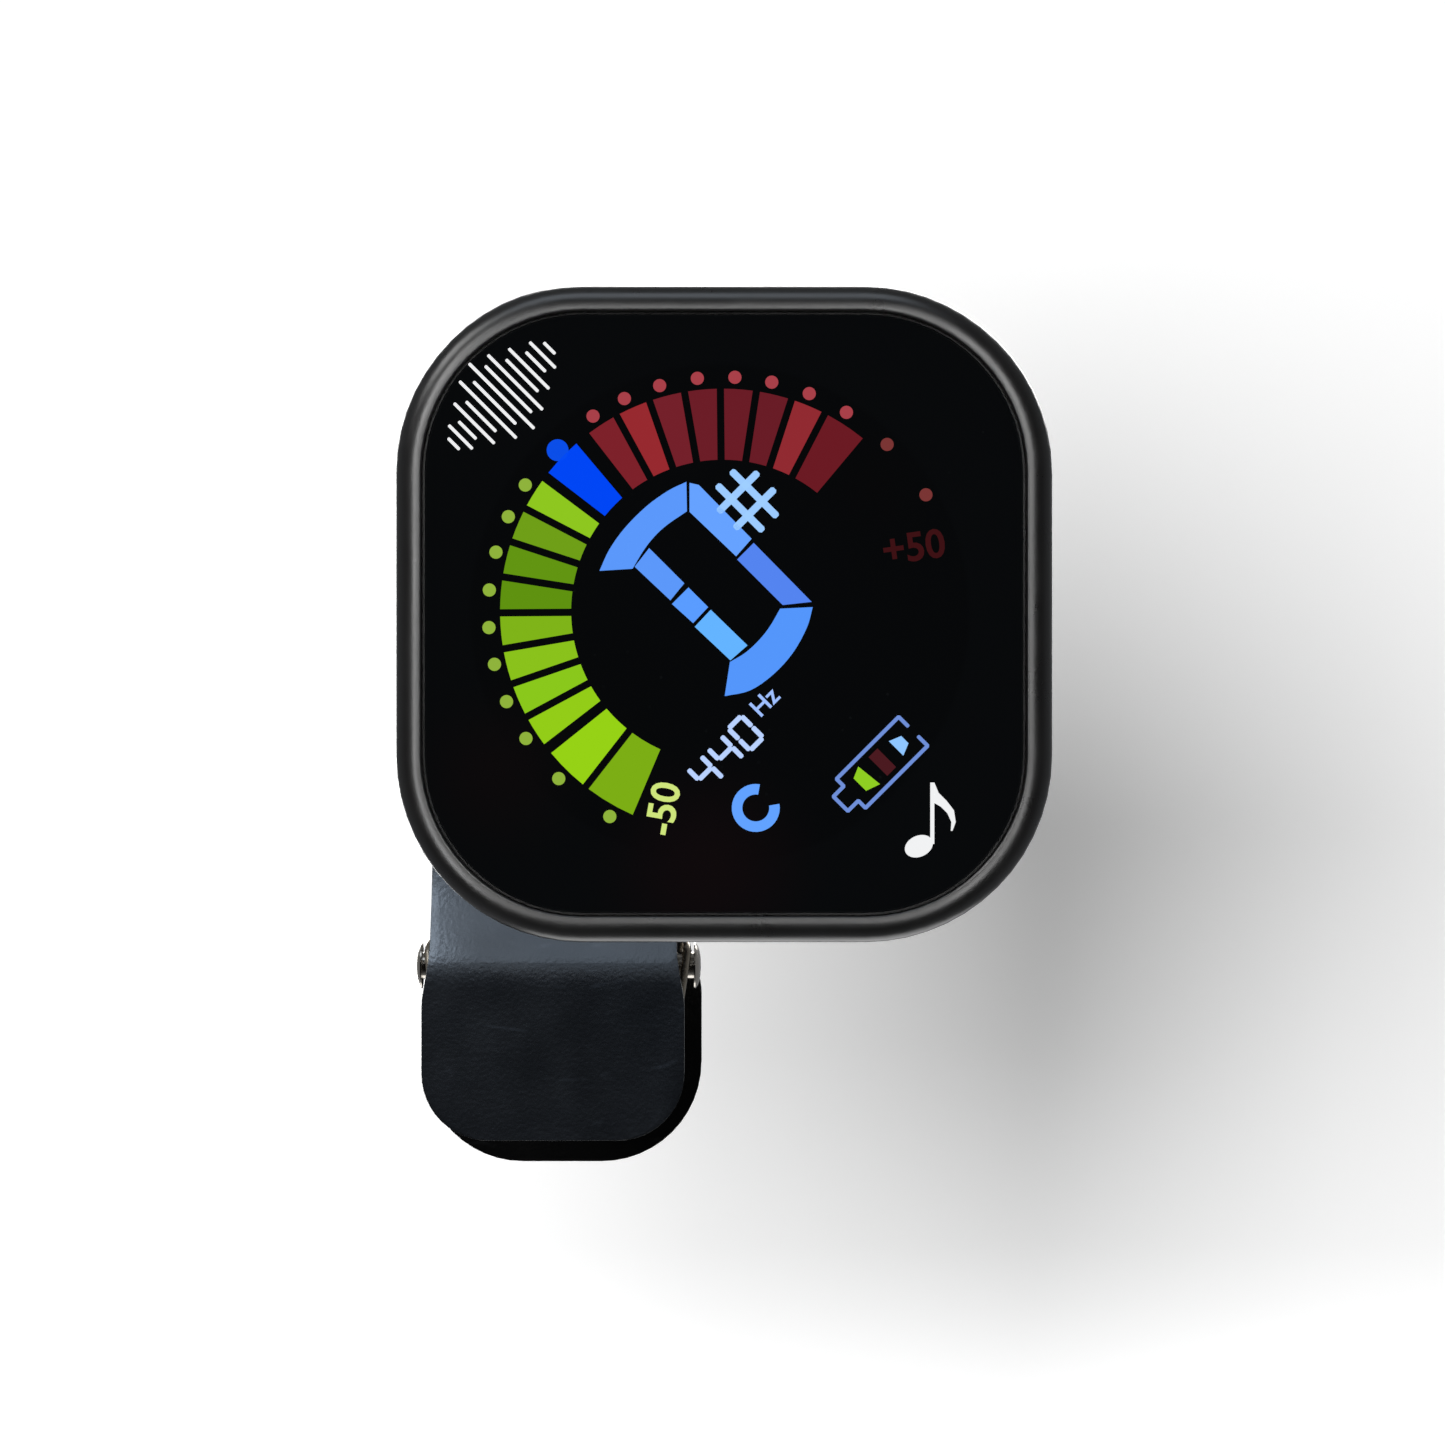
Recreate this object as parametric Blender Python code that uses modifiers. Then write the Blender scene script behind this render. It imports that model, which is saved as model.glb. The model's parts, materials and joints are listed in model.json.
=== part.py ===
"""Clip-on instrument tuner: a square colour-display head on a swivel and tilt joint, carried by a
sprung clip whose pads grip a headstock.

Frame: the origin is the middle of the front pad's gripping face. +X is to the right as the display
is read from the front, +Y runs from the display towards the headstock, and +Z is up.
"""

import math

import bmesh
import bpy
from mathutils import Euler, Vector

MM = 0.001

# Fits
CONTACT_GAP = 0.1 * MM      # between pieces that rest on each other
RUNNING_GAP = 0.2 * MM      # between pieces that turn or slide past each other
PIN_CLEARANCE = 0.06 * MM   # radial, pin in its hole

# Clip
PAD_GAP = 4.6 * MM          # between the two pads when the clip is shut on its stop
PAD_THICKNESS = 1.8 * MM
PAD_WIDTH = 14.0 * MM
PAD_LENGTH = 15.0 * MM
PAD_CORNER = 3.0 * MM
LEVER_THICKNESS = 2.4 * MM
FRONT_JAW_WIDTH = 17.8 * MM
FRONT_GRIP_WIDTH = 18.9 * MM
REAR_JAW_WIDTH = 19.2 * MM
REAR_GRIP_WIDTH = 21.2 * MM
JAW_REACH = 27.5 * MM       # pin axis to jaw tip
PAD_HEIGHT = 18.0 * MM      # pin axis to pad centre
FRONT_GRIP_REACH = 12.0 * MM
REAR_GRIP_REACH = 15.4 * MM
STOP_WIDTH = 4.0 * MM
STOP_HEIGHT = 1.6 * MM
GRIP_STEP = 4.2 * MM        # how far each grip stands out from its jaw
BEND_TOP = 8.0 * MM         # the step starts this far above the pin axis
BEND_LOW = 0.5 * MM         # and ends this far above it
BEND_OUTSIDE = 4.0 * MM     # rounding on the outside of a bend
BEND_INSIDE = 2.0 * MM
JAW_TIP_EDGE = 1.0 * MM
JAW_LIP_EDGE = 0.3 * MM
GRIP_END_INNER_EDGE = 0.4 * MM
GRIP_END_OUTER_EDGE = 0.6 * MM
FLARE_HIGH = 1.5 * MM       # the grip starts to widen this far above the pin axis
FLARE_DROP = 2.5 * MM       # and is full width this far below it
FLARE_ROUNDING = 5.0 * MM
JAW_CORNER = 4.0 * MM
FRONT_GRIP_CORNER = 4.8 * MM
REAR_GRIP_CORNER = 7.6 * MM

# Clip hinge
PIN_RADIUS = 1.0 * MM
PIN_HEAD_RADIUS = 1.7 * MM
PIN_HEAD_THICKNESS = 0.5 * MM
PIN_HEAD_RIM = 0.15 * MM
KNUCKLE_RADIUS = 2.6 * MM
REAR_KNUCKLE_INSIDE = 3.2 * MM
KNUCKLE_THICKNESS = 2.4 * MM
KNUCKLE_FOOT_RISE = 5.0 * MM    # pin axis up to the top of a knuckle's foot
KNUCKLE_FOOT_DROP = 3.5 * MM    # and down to its lower end
SPRING_WIRE_RADIUS = 0.3 * MM
SPRING_COIL_RADIUS = 1.75 * MM
SPRING_PITCH = 0.68 * MM
SPRING_EXTRA_TURNS = 1
SPRING_LEG_DROP = 9.0 * MM
SPRING_LEG_LEAN = 1.5 * MM

# Head
HEAD_SIZE = 45.0 * MM
HEAD_DEPTH = 11.0 * MM
HEAD_CORNER = 12.8 * MM
HEAD_WALL = 1.5 * MM
HEAD_EDGE = 1.3 * MM        # rounding of the front edge
BACK_EDGE = 0.9 * MM
SWIVEL_INSET = 12.3 * MM    # head centre to swivel axis, along X and along Z
LENS_INSET = 2.05 * MM      # head's side to the lens
LENS_THICKNESS = 0.9 * MM
LENS_RECESS = 0.25 * MM
LEDGE_WIDTH = 1.7 * MM
LEDGE_THICKNESS = 0.8 * MM
TAPE_THICKNESS = 0.15 * MM
TAPE_GAP = 0.05 * MM        # on each side of the lens tape
LCD_INSET = 1.95 * MM       # lens edge to the panel
LCD_CORNER = 7.0 * MM
LCD_THICKNESS = 1.4 * MM
TRAY_INSET = 1.3 * MM       # cavity wall to the tray
TRAY_CORNER = 9.0 * MM
TRAY_DEPTH = 2.3 * MM
TRAY_FLOOR = 0.6 * MM
TRAY_RIM = 1.6 * MM         # tray's side to its pocket
GUIDE_CORNER = 5.0 * MM
LED_STRIP_DEPTH = 1.1 * MM
LED_STRIP_WIDTH = 14.0 * MM
RIBBON_WIDTH = 12.0 * MM
RIBBON_THICKNESS = 0.25 * MM
RIBBON_BEND = 0.6 * MM
RIBBON_INSET = 0.85 * MM    # cavity wall to the ribbon's outer face
BOARD_INSET = 0.8 * MM      # cavity wall to the board
BOARD_THICKNESS = 0.8 * MM
BOARD_CORNER_EASE = 0.6 * MM    # the board's corner radius is this much under the cavity's
COVER_THICKNESS = 1.4 * MM
COVER_LIP_HEIGHT = 1.2 * MM
COVER_LIP_WIDTH = 1.0 * MM
COVER_LIP_ROOT = 0.3 * MM   # how far the lip runs into the cover
SEAM = 0.15 * MM

# Screws that hold the rear cover
BOSS_RADIUS = 1.9 * MM
CORNER_BOSS_INSET = 5.9 * MM   # head's side to a corner boss, along X and along Z
SIDE_BOSS_INSET = 3.0 * MM  # head's side to a side boss
SIDE_BOSS_ALONG = 9.8 * MM  # swivel axis to a side boss, along the side
SCREW_RADIUS = 0.8 * MM
SCREW_HEAD_RADIUS = 1.6 * MM
SCREW_HEAD_THICKNESS = 0.75 * MM
SCREW_LENGTH = 5.0 * MM
SCREW_TIP = 0.4 * MM
SCREW_SLOT_WIDTH = 0.4 * MM
SCREW_SLOT_DEPTH = 0.45 * MM

# Swivel and tilt joint
SWIVEL_RISE = 13.2 * MM     # hinge pin axis to swivel axis, upwards
TILT_STANDOFF = 5.6 * MM    # tilt axis to the front lever's outer face
EAR_RADIUS = 2.0 * MM
TONGUE_WIDTH = 3.6 * MM
EAR_THICKNESS = 2.2 * MM
EAR_ROOM = 0.3 * MM         # ear's round end to the flange
EAR_SUNK = 0.8 * MM         # how far the ear's foot runs into the lever
EAR_FOOT_SPREAD = 1.2 * MM
TONGUE_FOOT_SPREAD = 0.6 * MM
HUB_OVERLAP = 0.4 * MM      # how far the neck and tongue run into the flange
TILT_PIN_RADIUS = 0.8 * MM
FLANGE_RADIUS = 6.2 * MM
FLANGE_THICKNESS = 1.0 * MM
NECK_RADIUS = 3.0 * MM
WASHER_RADIUS = 4.6 * MM
WASHER_THICKNESS = 0.6 * MM
SWIVEL_SCREW_RADIUS = 0.9 * MM
SWIVEL_SCREW_HEAD_RADIUS = 2.0 * MM
SWIVEL_SCREW_HEAD = 1.0 * MM

# Electronics, placed from the head's centre
BATTERY = Vector((20.0, 2.9, 15.0)) * MM
BATTERY_AT = (-3.6 * MM, 8.6 * MM)
BATTERY_TAPE = 0.2 * MM
USB_SHELL = Vector((7.4, 3.16, 8.94)) * MM
USB_WALL = 0.3 * MM
USB_MOUTH_INSET = 0.4 * MM  # head's right face to the socket's mouth
USB_HEIGHT = -4.0 * MM
PROCESSOR = Vector((5.5, 0.9, 5.5)) * MM
PROCESSOR_AT = (9.0 * MM, -3.4 * MM)
CHARGER = Vector((3.0, 0.8, 3.0)) * MM
CHARGER_AT = (-7.5 * MM, -3.4 * MM)
PIEZO_RADIUS = 6.0 * MM
PIEZO_CERAMIC_RADIUS = 4.2 * MM
PIEZO_LAYER = 0.2 * MM
PIEZO_AT = (3.0 * MM, -10.5 * MM)
BUTTON_RADIUS = 2.9 * MM
BUTTON_PROUD = 0.4 * MM
BUTTON_TRAVEL = 0.4 * MM
BUTTON_FLANGE = 0.45 * MM
BUTTON_COLLAR = 0.6 * MM    # how far the collar stands out from the cap
BUTTON_EDGE = 0.5 * MM
BUTTON_EDGE_DEPTH = 0.25 * MM
BUTTONS = {"power": (11.5 * MM, 11.5 * MM), "mode": (11.5 * MM, 4.2 * MM)}
SWITCH_SIZE = 4.4 * MM
SWITCH_HEIGHT = 2.1 * MM
PLUNGER_RADIUS = 0.9 * MM
PLUNGER_DEPTH = 0.7 * MM    # how far the plunger reaches into its switch
LEAD_RADIUS = 0.3 * MM

# Places that follow from the sizes above
MID_Y = PAD_GAP / 2
INNER_FACE = PAD_GAP / 2 + PAD_THICKNESS + CONTACT_GAP
OUTER_FACE = INNER_FACE + LEVER_THICKNESS
PIN_Z = -PAD_HEIGHT
TIP_Z = PIN_Z + JAW_REACH
SWIVEL_Z = PIN_Z + SWIVEL_RISE
TILT_Y = MID_Y - OUTER_FACE - TILT_STANDOFF
FLANGE_BACK_Y = TILT_Y - EAR_RADIUS - EAR_ROOM
BACK_Y = FLANGE_BACK_Y - FLANGE_THICKNESS - RUNNING_GAP
FRONT_Y = BACK_Y - HEAD_DEPTH
HEAD_X = SWIVEL_INSET
HEAD_Z = SWIVEL_Z + SWIVEL_INSET
LENS_SIZE = HEAD_SIZE - 2 * LENS_INSET
WINDOW_SIZE = LENS_SIZE + 2 * RUNNING_GAP
WINDOW_CORNER = HEAD_CORNER - (HEAD_SIZE - WINDOW_SIZE) / 2
CAVITY_SIZE = HEAD_SIZE - 2 * HEAD_WALL
CAVITY_CORNER = HEAD_CORNER - HEAD_WALL
LCD_SIZE = LENS_SIZE - 2 * LCD_INSET
TRAY_SIZE = CAVITY_SIZE - 2 * TRAY_INSET
GUIDE_SIZE = TRAY_SIZE - 2 * (TRAY_RIM + RUNNING_GAP)
RIBBON_OUT = CAVITY_SIZE / 2 - RIBBON_INSET
BOARD_SIZE = CAVITY_SIZE - 2 * BOARD_INSET
CORNER_BOSS = HEAD_SIZE / 2 - CORNER_BOSS_INSET
SIDE_BOSS_OUT = HEAD_SIZE / 2 - SIDE_BOSS_INSET
LENS_BACK = LENS_RECESS + LENS_THICKNESS
LEDGE_FRONT = LENS_BACK + TAPE_THICKNESS + 2 * TAPE_GAP
LEDGE_BACK = LEDGE_FRONT + LEDGE_THICKNESS
LCD_BACK = LENS_BACK + CONTACT_GAP + LCD_THICKNESS
TRAY_FRONT = LCD_BACK + CONTACT_GAP
BOARD_FRONT = TRAY_FRONT + TRAY_DEPTH + CONTACT_GAP
BOARD_BACK = BOARD_FRONT + BOARD_THICKNESS
BATTERY_FRONT = BOARD_BACK + BATTERY_TAPE + 2 * CONTACT_GAP
COVER_INNER = HEAD_DEPTH - COVER_THICKNESS
CASE_END = COVER_INNER - SEAM
SWITCH_TOP = BOARD_BACK + CONTACT_GAP + SWITCH_HEIGHT
FRONT_KNUCKLE_INSIDE = REAR_KNUCKLE_INSIDE + KNUCKLE_THICKNESS + RUNNING_GAP
SPRING_INSIDE = FRONT_KNUCKLE_INSIDE + KNUCKLE_THICKNESS + RUNNING_GAP

FACING_Y = Euler((math.radians(90), 0, 0))                 # local Z becomes -Y, local Y becomes Z
SIDEWAYS = Euler((math.radians(90), 0, math.radians(90)))  # local X, Y and Z become Y, Z and X
ALONG_X = Euler((0, math.radians(90), 0))                  # local Z becomes X

COLOURS = {
    # name: (red, green, blue), roughness, metallic
    "black_case": ((0.02, 0.02, 0.021), 0.35, 0.0),
    "black_lever": ((0.022, 0.024, 0.026), 0.5, 0.0),
    "black_glass": ((0.004, 0.004, 0.005), 0.05, 0.0),
    "display": ((0.01, 0.02, 0.05), 0.2, 0.0),
    "clear_acrylic": ((0.8, 0.85, 0.9), 0.1, 0.0),
    "white_plastic": ((0.8, 0.8, 0.78), 0.5, 0.0),
    "board_green": ((0.01, 0.13, 0.05), 0.45, 0.0),
    "chip_black": ((0.03, 0.03, 0.032), 0.4, 0.0),
    "cell_foil": ((0.55, 0.56, 0.58), 0.3, 0.9),
    "pad_rubber": ((0.03, 0.03, 0.03), 0.85, 0.0),
    "bright_steel": ((0.62, 0.6, 0.57), 0.22, 1.0),
    "brass": ((0.78, 0.58, 0.25), 0.3, 1.0),
    "ceramic": ((0.8, 0.78, 0.72), 0.5, 0.0),
    "tape": ((0.05, 0.05, 0.05), 0.8, 0.0),
    "ribbon_film": ((0.55, 0.25, 0.04), 0.3, 0.0),
    "lead_red": ((0.5, 0.02, 0.02), 0.5, 0.0),
    "lead_black": ((0.02, 0.02, 0.02), 0.5, 0.0),
}


# ---------------------------------------------------------------- scene set-up

def clear_scene():
    for obj in list(bpy.data.objects):
        bpy.data.objects.remove(obj)


def new_collection(name):
    made = bpy.data.collections.new(name)
    bpy.context.scene.collection.children.link(made)
    return made


def make_material(name):
    colour, roughness, metallic = COLOURS[name]
    made = bpy.data.materials.new(name)
    made.use_nodes = True
    shader = made.node_tree.nodes["Principled BSDF"]
    shader.inputs["Base Color"].default_value = (*colour, 1.0)
    shader.inputs["Roughness"].default_value = roughness
    shader.inputs["Metallic"].default_value = metallic
    made.diffuse_color = (*colour, 1.0)
    return made


clear_scene()
PARTS = new_collection("clip_on_tuner")
HELPERS = new_collection("cutters")
MATERIALS = {name: make_material(name) for name in COLOURS}


def place(obj, location, rotation):
    obj.location = location
    obj.rotation_euler = rotation


def helper(obj):
    """Keeps a cutter or a joined shape out of the model."""
    for owner in list(obj.users_collection):
        owner.objects.unlink(obj)
    HELPERS.objects.link(obj)
    obj.hide_render = True
    obj.display_type = "WIRE"
    return obj


def part(obj, name, material, parent=None):
    """Makes obj a named piece of the tuner, on the empty at its joint if it has one."""
    for owner in list(obj.users_collection):
        owner.objects.unlink(obj)
    PARTS.objects.link(obj)
    obj.name = name
    obj.data.name = name
    obj.data.materials.clear()
    obj.data.materials.append(MATERIALS[material])
    if obj.type == "MESH":
        obj.data.shade_smooth()
        obj.data.set_sharp_from_angle(angle=math.radians(35))
    if parent is not None:
        bpy.context.view_layer.update()
        obj.parent = parent
        obj.matrix_parent_inverse = parent.matrix_world.inverted()
    return obj


def joint_empty(name, location):
    empty = bpy.data.objects.new(name, None)
    empty.location = location
    empty.empty_display_size = 0.005
    PARTS.objects.link(empty)
    bpy.context.view_layer.update()
    return empty


# ---------------------------------------------------------------- outlines

def arc(centre, radius, start, end, steps):
    """Points on an arc, angles in radians, both ends included."""
    return [
        (
            centre[0] + radius * math.cos(start + (end - start) * i / steps),
            centre[1] + radius * math.sin(start + (end - start) * i / steps),
        )
        for i in range(steps + 1)
    ]


def rounded(corners, steps=6):
    """A closed outline from (x, y, radius) corners, each rounded by its own arc."""
    points = []
    count = len(corners)
    for i, (x, y, radius) in enumerate(corners):
        here = Vector((x, y))
        back = (Vector(corners[i - 1][:2]) - here).normalized()
        ahead = (Vector(corners[(i + 1) % count][:2]) - here).normalized()
        if radius <= 0:
            points.append((x, y))
            continue
        half = back.angle(ahead) / 2
        centre = here + (back + ahead).normalized() * (radius / math.sin(half))
        first = here + back * (radius / math.tan(half)) - centre
        last = here + ahead * (radius / math.tan(half)) - centre
        start = math.atan2(first.y, first.x)
        sweep = math.atan2(first.x * last.y - first.y * last.x, first.dot(last))
        points += arc(centre, radius, start, start + sweep, steps)
    return points


def rounded_square(size, corner, steps=10):
    half = size / 2
    return rounded([(x * half, y * half, corner) for x, y in ((-1, -1), (1, -1), (1, 1), (-1, 1))], steps)


# ---------------------------------------------------------------- solids

def meshed(obj):
    """A curve or a modified mesh as a plain mesh object, its caps welded and flat faces joined up."""
    bpy.context.view_layer.update()
    data = bpy.data.meshes.new_from_object(obj.evaluated_get(bpy.context.evaluated_depsgraph_get()))
    world = obj.matrix_world.copy()
    bpy.data.objects.remove(obj)
    work = bmesh.new()
    work.from_mesh(data)
    bmesh.ops.remove_doubles(work, verts=work.verts, dist=0.001 * MM)
    bmesh.ops.dissolve_limit(work, angle_limit=math.radians(0.2), verts=work.verts, edges=work.edges)
    bmesh.ops.recalc_face_normals(work, faces=work.faces)
    work.to_mesh(data)
    work.free()
    made = bpy.data.objects.new("shape", data)
    made.matrix_world = world
    bpy.context.scene.collection.objects.link(made)
    return made


def prism(outline, thickness, middle, rotation):
    """A flat outline, thickened evenly to both sides of middle."""
    curve = bpy.data.curves.new("outline", "CURVE")
    curve.dimensions = "2D"
    curve.fill_mode = "BOTH"
    curve.extrude = thickness / 2
    spline = curve.splines.new("POLY")
    spline.points.add(len(outline) - 1)
    for point, (x, y) in zip(spline.points, outline):
        point.co = (x, y, 0, 1)
    spline.use_cyclic_u = True
    obj = bpy.data.objects.new("outline", curve)
    bpy.context.scene.collection.objects.link(obj)
    place(obj, middle, rotation)
    return meshed(obj)


def head_plate(outline, front, back, at=(0, 0)):
    """An outline in the head's plane, from depth front to depth back behind the head's front face."""
    middle = (HEAD_X + at[0], FRONT_Y + (front + back) / 2, HEAD_Z + at[1])
    return prism(outline, back - front, middle, FACING_Y)


def side_plate(outline, low, high):
    """An outline of (Y, Z) points, from X = low to X = high."""
    return prism(outline, high - low, ((low + high) / 2, 0, 0), SIDEWAYS)


def cylinder(radius, length, middle, rotation, sides=32):
    bpy.ops.mesh.primitive_cylinder_add(vertices=sides, radius=radius, depth=length, location=middle,
                                        rotation=rotation)
    return bpy.context.object


def head_cylinder(radius, front, back, at, sides=32):
    middle = (HEAD_X + at[0], FRONT_Y + (front + back) / 2, HEAD_Z + at[1])
    return cylinder(radius, back - front, middle, FACING_Y, sides)


def box(size, middle):
    bpy.ops.mesh.primitive_cube_add(size=1, location=middle)
    obj = bpy.context.object
    obj.data.transform(obj.matrix_world.to_3x3().to_4x4())
    for vertex in obj.data.vertices:
        vertex.co = Vector(a * b for a, b in zip(vertex.co, size))
    return obj


def head_box(size, front, at):
    """A box whose front face lies at a depth behind the head's front face."""
    return box(size, (HEAD_X + at[0], FRONT_Y + front + size[1] / 2, HEAD_Z + at[1]))


def turned(profile, middle, rotation, sides=32):
    """A turned solid from (radius, height) points that run down its outer side from the top."""
    data = bpy.data.meshes.new("profile")
    points = [(radius, 0, height) for radius, height in profile]
    data.from_pydata(points, [(i, i + 1) for i in range(len(points) - 1)], [])
    obj = bpy.data.objects.new("turned", data)
    bpy.context.scene.collection.objects.link(obj)
    screw = obj.modifiers.new("turn", "SCREW")
    screw.steps = screw.render_steps = sides
    screw.use_merge_vertices = True
    screw.merge_threshold = 0.001 * MM
    place(obj, middle, rotation)
    return meshed(obj)


def boolean(obj, other, operation):
    step = obj.modifiers.new(operation.lower(), "BOOLEAN")
    step.operation = operation
    step.solver = "EXACT"
    step.object = helper(other)
    return obj


def cut(obj, *others):
    for other in others:
        boolean(obj, other, "DIFFERENCE")
    return obj


def join(obj, *others):
    for other in others:
        boolean(obj, other, "UNION")
    return obj


def round_edges(obj, width, segments, chosen):
    """Rounds the edges whose two ends both satisfy chosen, a test of a world-space point."""
    bpy.context.view_layer.update()
    weights = obj.data.attributes.new("bevel_weight_edge", "FLOAT", "EDGE")
    inside = [chosen(obj.matrix_world @ vertex.co) for vertex in obj.data.vertices]
    for edge, weight in zip(obj.data.edges, weights.data):
        weight.value = float(all(inside[i] for i in edge.vertices))
    bevel = obj.modifiers.new("rounded edges", "BEVEL")
    bevel.limit_method = "WEIGHT"
    bevel.width = width
    bevel.segments = segments
    return obj


def at_depth(depth):
    return lambda point: abs(point.y - FRONT_Y - depth) < 0.01 * MM


# ---------------------------------------------------------------- clip

def lever_profile(side, grip_reach):
    """The lever seen from its end, as (Y, Z) points. side is -1 for the front lever, 1 for the rear."""
    slope = math.atan2(GRIP_STEP, BEND_TOP - BEND_LOW)
    shift = LEVER_THICKNESS * math.tan(slope / 2)
    end = PIN_Z - grip_reach
    inner, outer = INNER_FACE, OUTER_FACE
    shape = [
        (outer, TIP_Z, JAW_TIP_EDGE),
        (inner, TIP_Z, JAW_LIP_EDGE),
        (inner, PIN_Z + BEND_TOP - shift, BEND_OUTSIDE),
        (inner + GRIP_STEP, PIN_Z + BEND_LOW - shift, BEND_INSIDE),
        (inner + GRIP_STEP, end, GRIP_END_INNER_EDGE),
        (outer + GRIP_STEP, end, GRIP_END_OUTER_EDGE),
        (outer + GRIP_STEP, PIN_Z + BEND_LOW, BEND_OUTSIDE),
        (outer, PIN_Z + BEND_TOP, BEND_INSIDE),
    ]
    return rounded([(MID_Y + side * away, z, radius) for away, z, radius in shape])


def lever_face(jaw_width, grip_width, grip_reach, grip_corner):
    """The lever seen square on, as (X, Z) points: narrower at the jaw, wider at the grip."""
    flare_top = PIN_Z + FLARE_HIGH
    flare_low = PIN_Z - FLARE_DROP
    end = PIN_Z - grip_reach
    right = [
        (jaw_width / 2, TIP_Z, JAW_CORNER),
        (jaw_width / 2, flare_top, FLARE_ROUNDING),
        (grip_width / 2, flare_low, FLARE_ROUNDING),
        (grip_width / 2, end, grip_corner),
    ]
    left = [(-x, z, radius) for x, z, radius in reversed(right)]
    return rounded(right + left, steps=8)


def knuckle(side, inside, sign):
    """One hinge knuckle: round about the pin, with its foot inside the lever's sloping wall."""
    wall = (INNER_FACE + OUTER_FACE) / 2
    slope = GRIP_STEP / (BEND_TOP - BEND_LOW)
    foot_top = PIN_Z + KNUCKLE_FOOT_RISE
    foot_low = PIN_Z - KNUCKLE_FOOT_DROP
    top_away = wall + slope * (PIN_Z + BEND_TOP - foot_top)
    start = math.radians(90)
    turn = math.pi * side
    outline = [
        (MID_Y + side * (wall + GRIP_STEP), foot_low),
        (MID_Y + side * top_away, foot_top),
        *arc((MID_Y, PIN_Z), KNUCKLE_RADIUS, start, start + turn, 12),
    ]
    ends = sorted((sign * inside, sign * (inside + KNUCKLE_THICKNESS)))
    return side_plate(outline, *ends)


def shut_stop():
    """The post on the rear lever that meets the front lever and keeps the pads PAD_GAP apart."""
    front = MID_Y - INNER_FACE + CONTACT_GAP
    back = MID_Y + INNER_FACE + LEVER_THICKNESS / 2
    size = Vector((STOP_WIDTH, back - front, STOP_HEIGHT))
    return box(size, (0, (front + back) / 2, -PAD_LENGTH / 2 - RUNNING_GAP - STOP_HEIGHT))


def pin_hole(radius, y, z, length):
    return cylinder(radius + PIN_CLEARANCE, length, (0, y, z), ALONG_X, 24)


def make_lever(side, jaw_width, grip_width, grip_reach, grip_corner, knuckle_inside):
    lever = side_plate(lever_profile(side, grip_reach), -grip_width, grip_width)
    face = prism(lever_face(jaw_width, grip_width, grip_reach, grip_corner), 60 * MM, (0, 0, 0), FACING_Y)
    boolean(lever, face, "INTERSECT")
    for sign in (-1, 1):
        join(lever, knuckle(side, knuckle_inside, sign))
    return lever


def tilt_ear(sign):
    """One of the two ears on the front lever that hold the tilt pin."""
    foot = MID_Y - OUTER_FACE + EAR_SUNK
    spread = EAR_RADIUS + EAR_FOOT_SPREAD
    outline = [
        (foot, SWIVEL_Z - spread),
        (foot, SWIVEL_Z + spread),
        *arc((TILT_Y, SWIVEL_Z), EAR_RADIUS, math.radians(90), math.radians(270), 12),
    ]
    inside = TONGUE_WIDTH / 2 + RUNNING_GAP
    ends = sorted((sign * inside, sign * (inside + EAR_THICKNESS)))
    return side_plate(outline, *ends)


def make_pad(name, side, parent):
    outline = rounded([(x * PAD_WIDTH / 2, z * PAD_LENGTH / 2, PAD_CORNER)
                       for x, z in ((-1, -1), (1, -1), (1, 1), (-1, 1))])
    middle = (0, MID_Y + side * (PAD_GAP + PAD_THICKNESS) / 2, 0)
    return part(prism(outline, PAD_THICKNESS, middle, FACING_Y), name, "pad_rubber", parent)


def make_hinge_pin():
    """Riveted over at both ends, outside the two springs."""
    half = SPRING_INSIDE + spring_width() + RUNNING_GAP
    dome = PIN_HEAD_RADIUS * 0.7
    end = half + PIN_HEAD_THICKNESS
    profile = [
        (0, end),
        (dome, end),
        (PIN_HEAD_RADIUS, half + PIN_HEAD_RIM),
        (PIN_HEAD_RADIUS, half),
        (PIN_RADIUS, half),
        (PIN_RADIUS, -half),
        (PIN_HEAD_RADIUS, -half),
        (PIN_HEAD_RADIUS, -half - PIN_HEAD_RIM),
        (dome, -end),
        (0, -end),
    ]
    return part(turned(profile, (0, MID_Y, PIN_Z), ALONG_X, 24), "hinge_pin", "bright_steel")


def spring_sweep():
    """(first angle, last angle) of the coil, where each leg leaves it on a tangent."""
    reach_y = INNER_FACE + GRIP_STEP - SPRING_WIRE_RADIUS - CONTACT_GAP
    away = math.hypot(reach_y, SPRING_LEG_DROP)
    leg = math.pi + math.atan2(SPRING_LEG_DROP, reach_y)
    first = leg - math.acos(SPRING_COIL_RADIUS / away)
    return first, math.pi - first - 2 * math.pi * SPRING_EXTRA_TURNS


def spring_width():
    first, last = spring_sweep()
    return SPRING_PITCH * (first - last) / (2 * math.pi) + 2 * SPRING_WIRE_RADIUS


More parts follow.
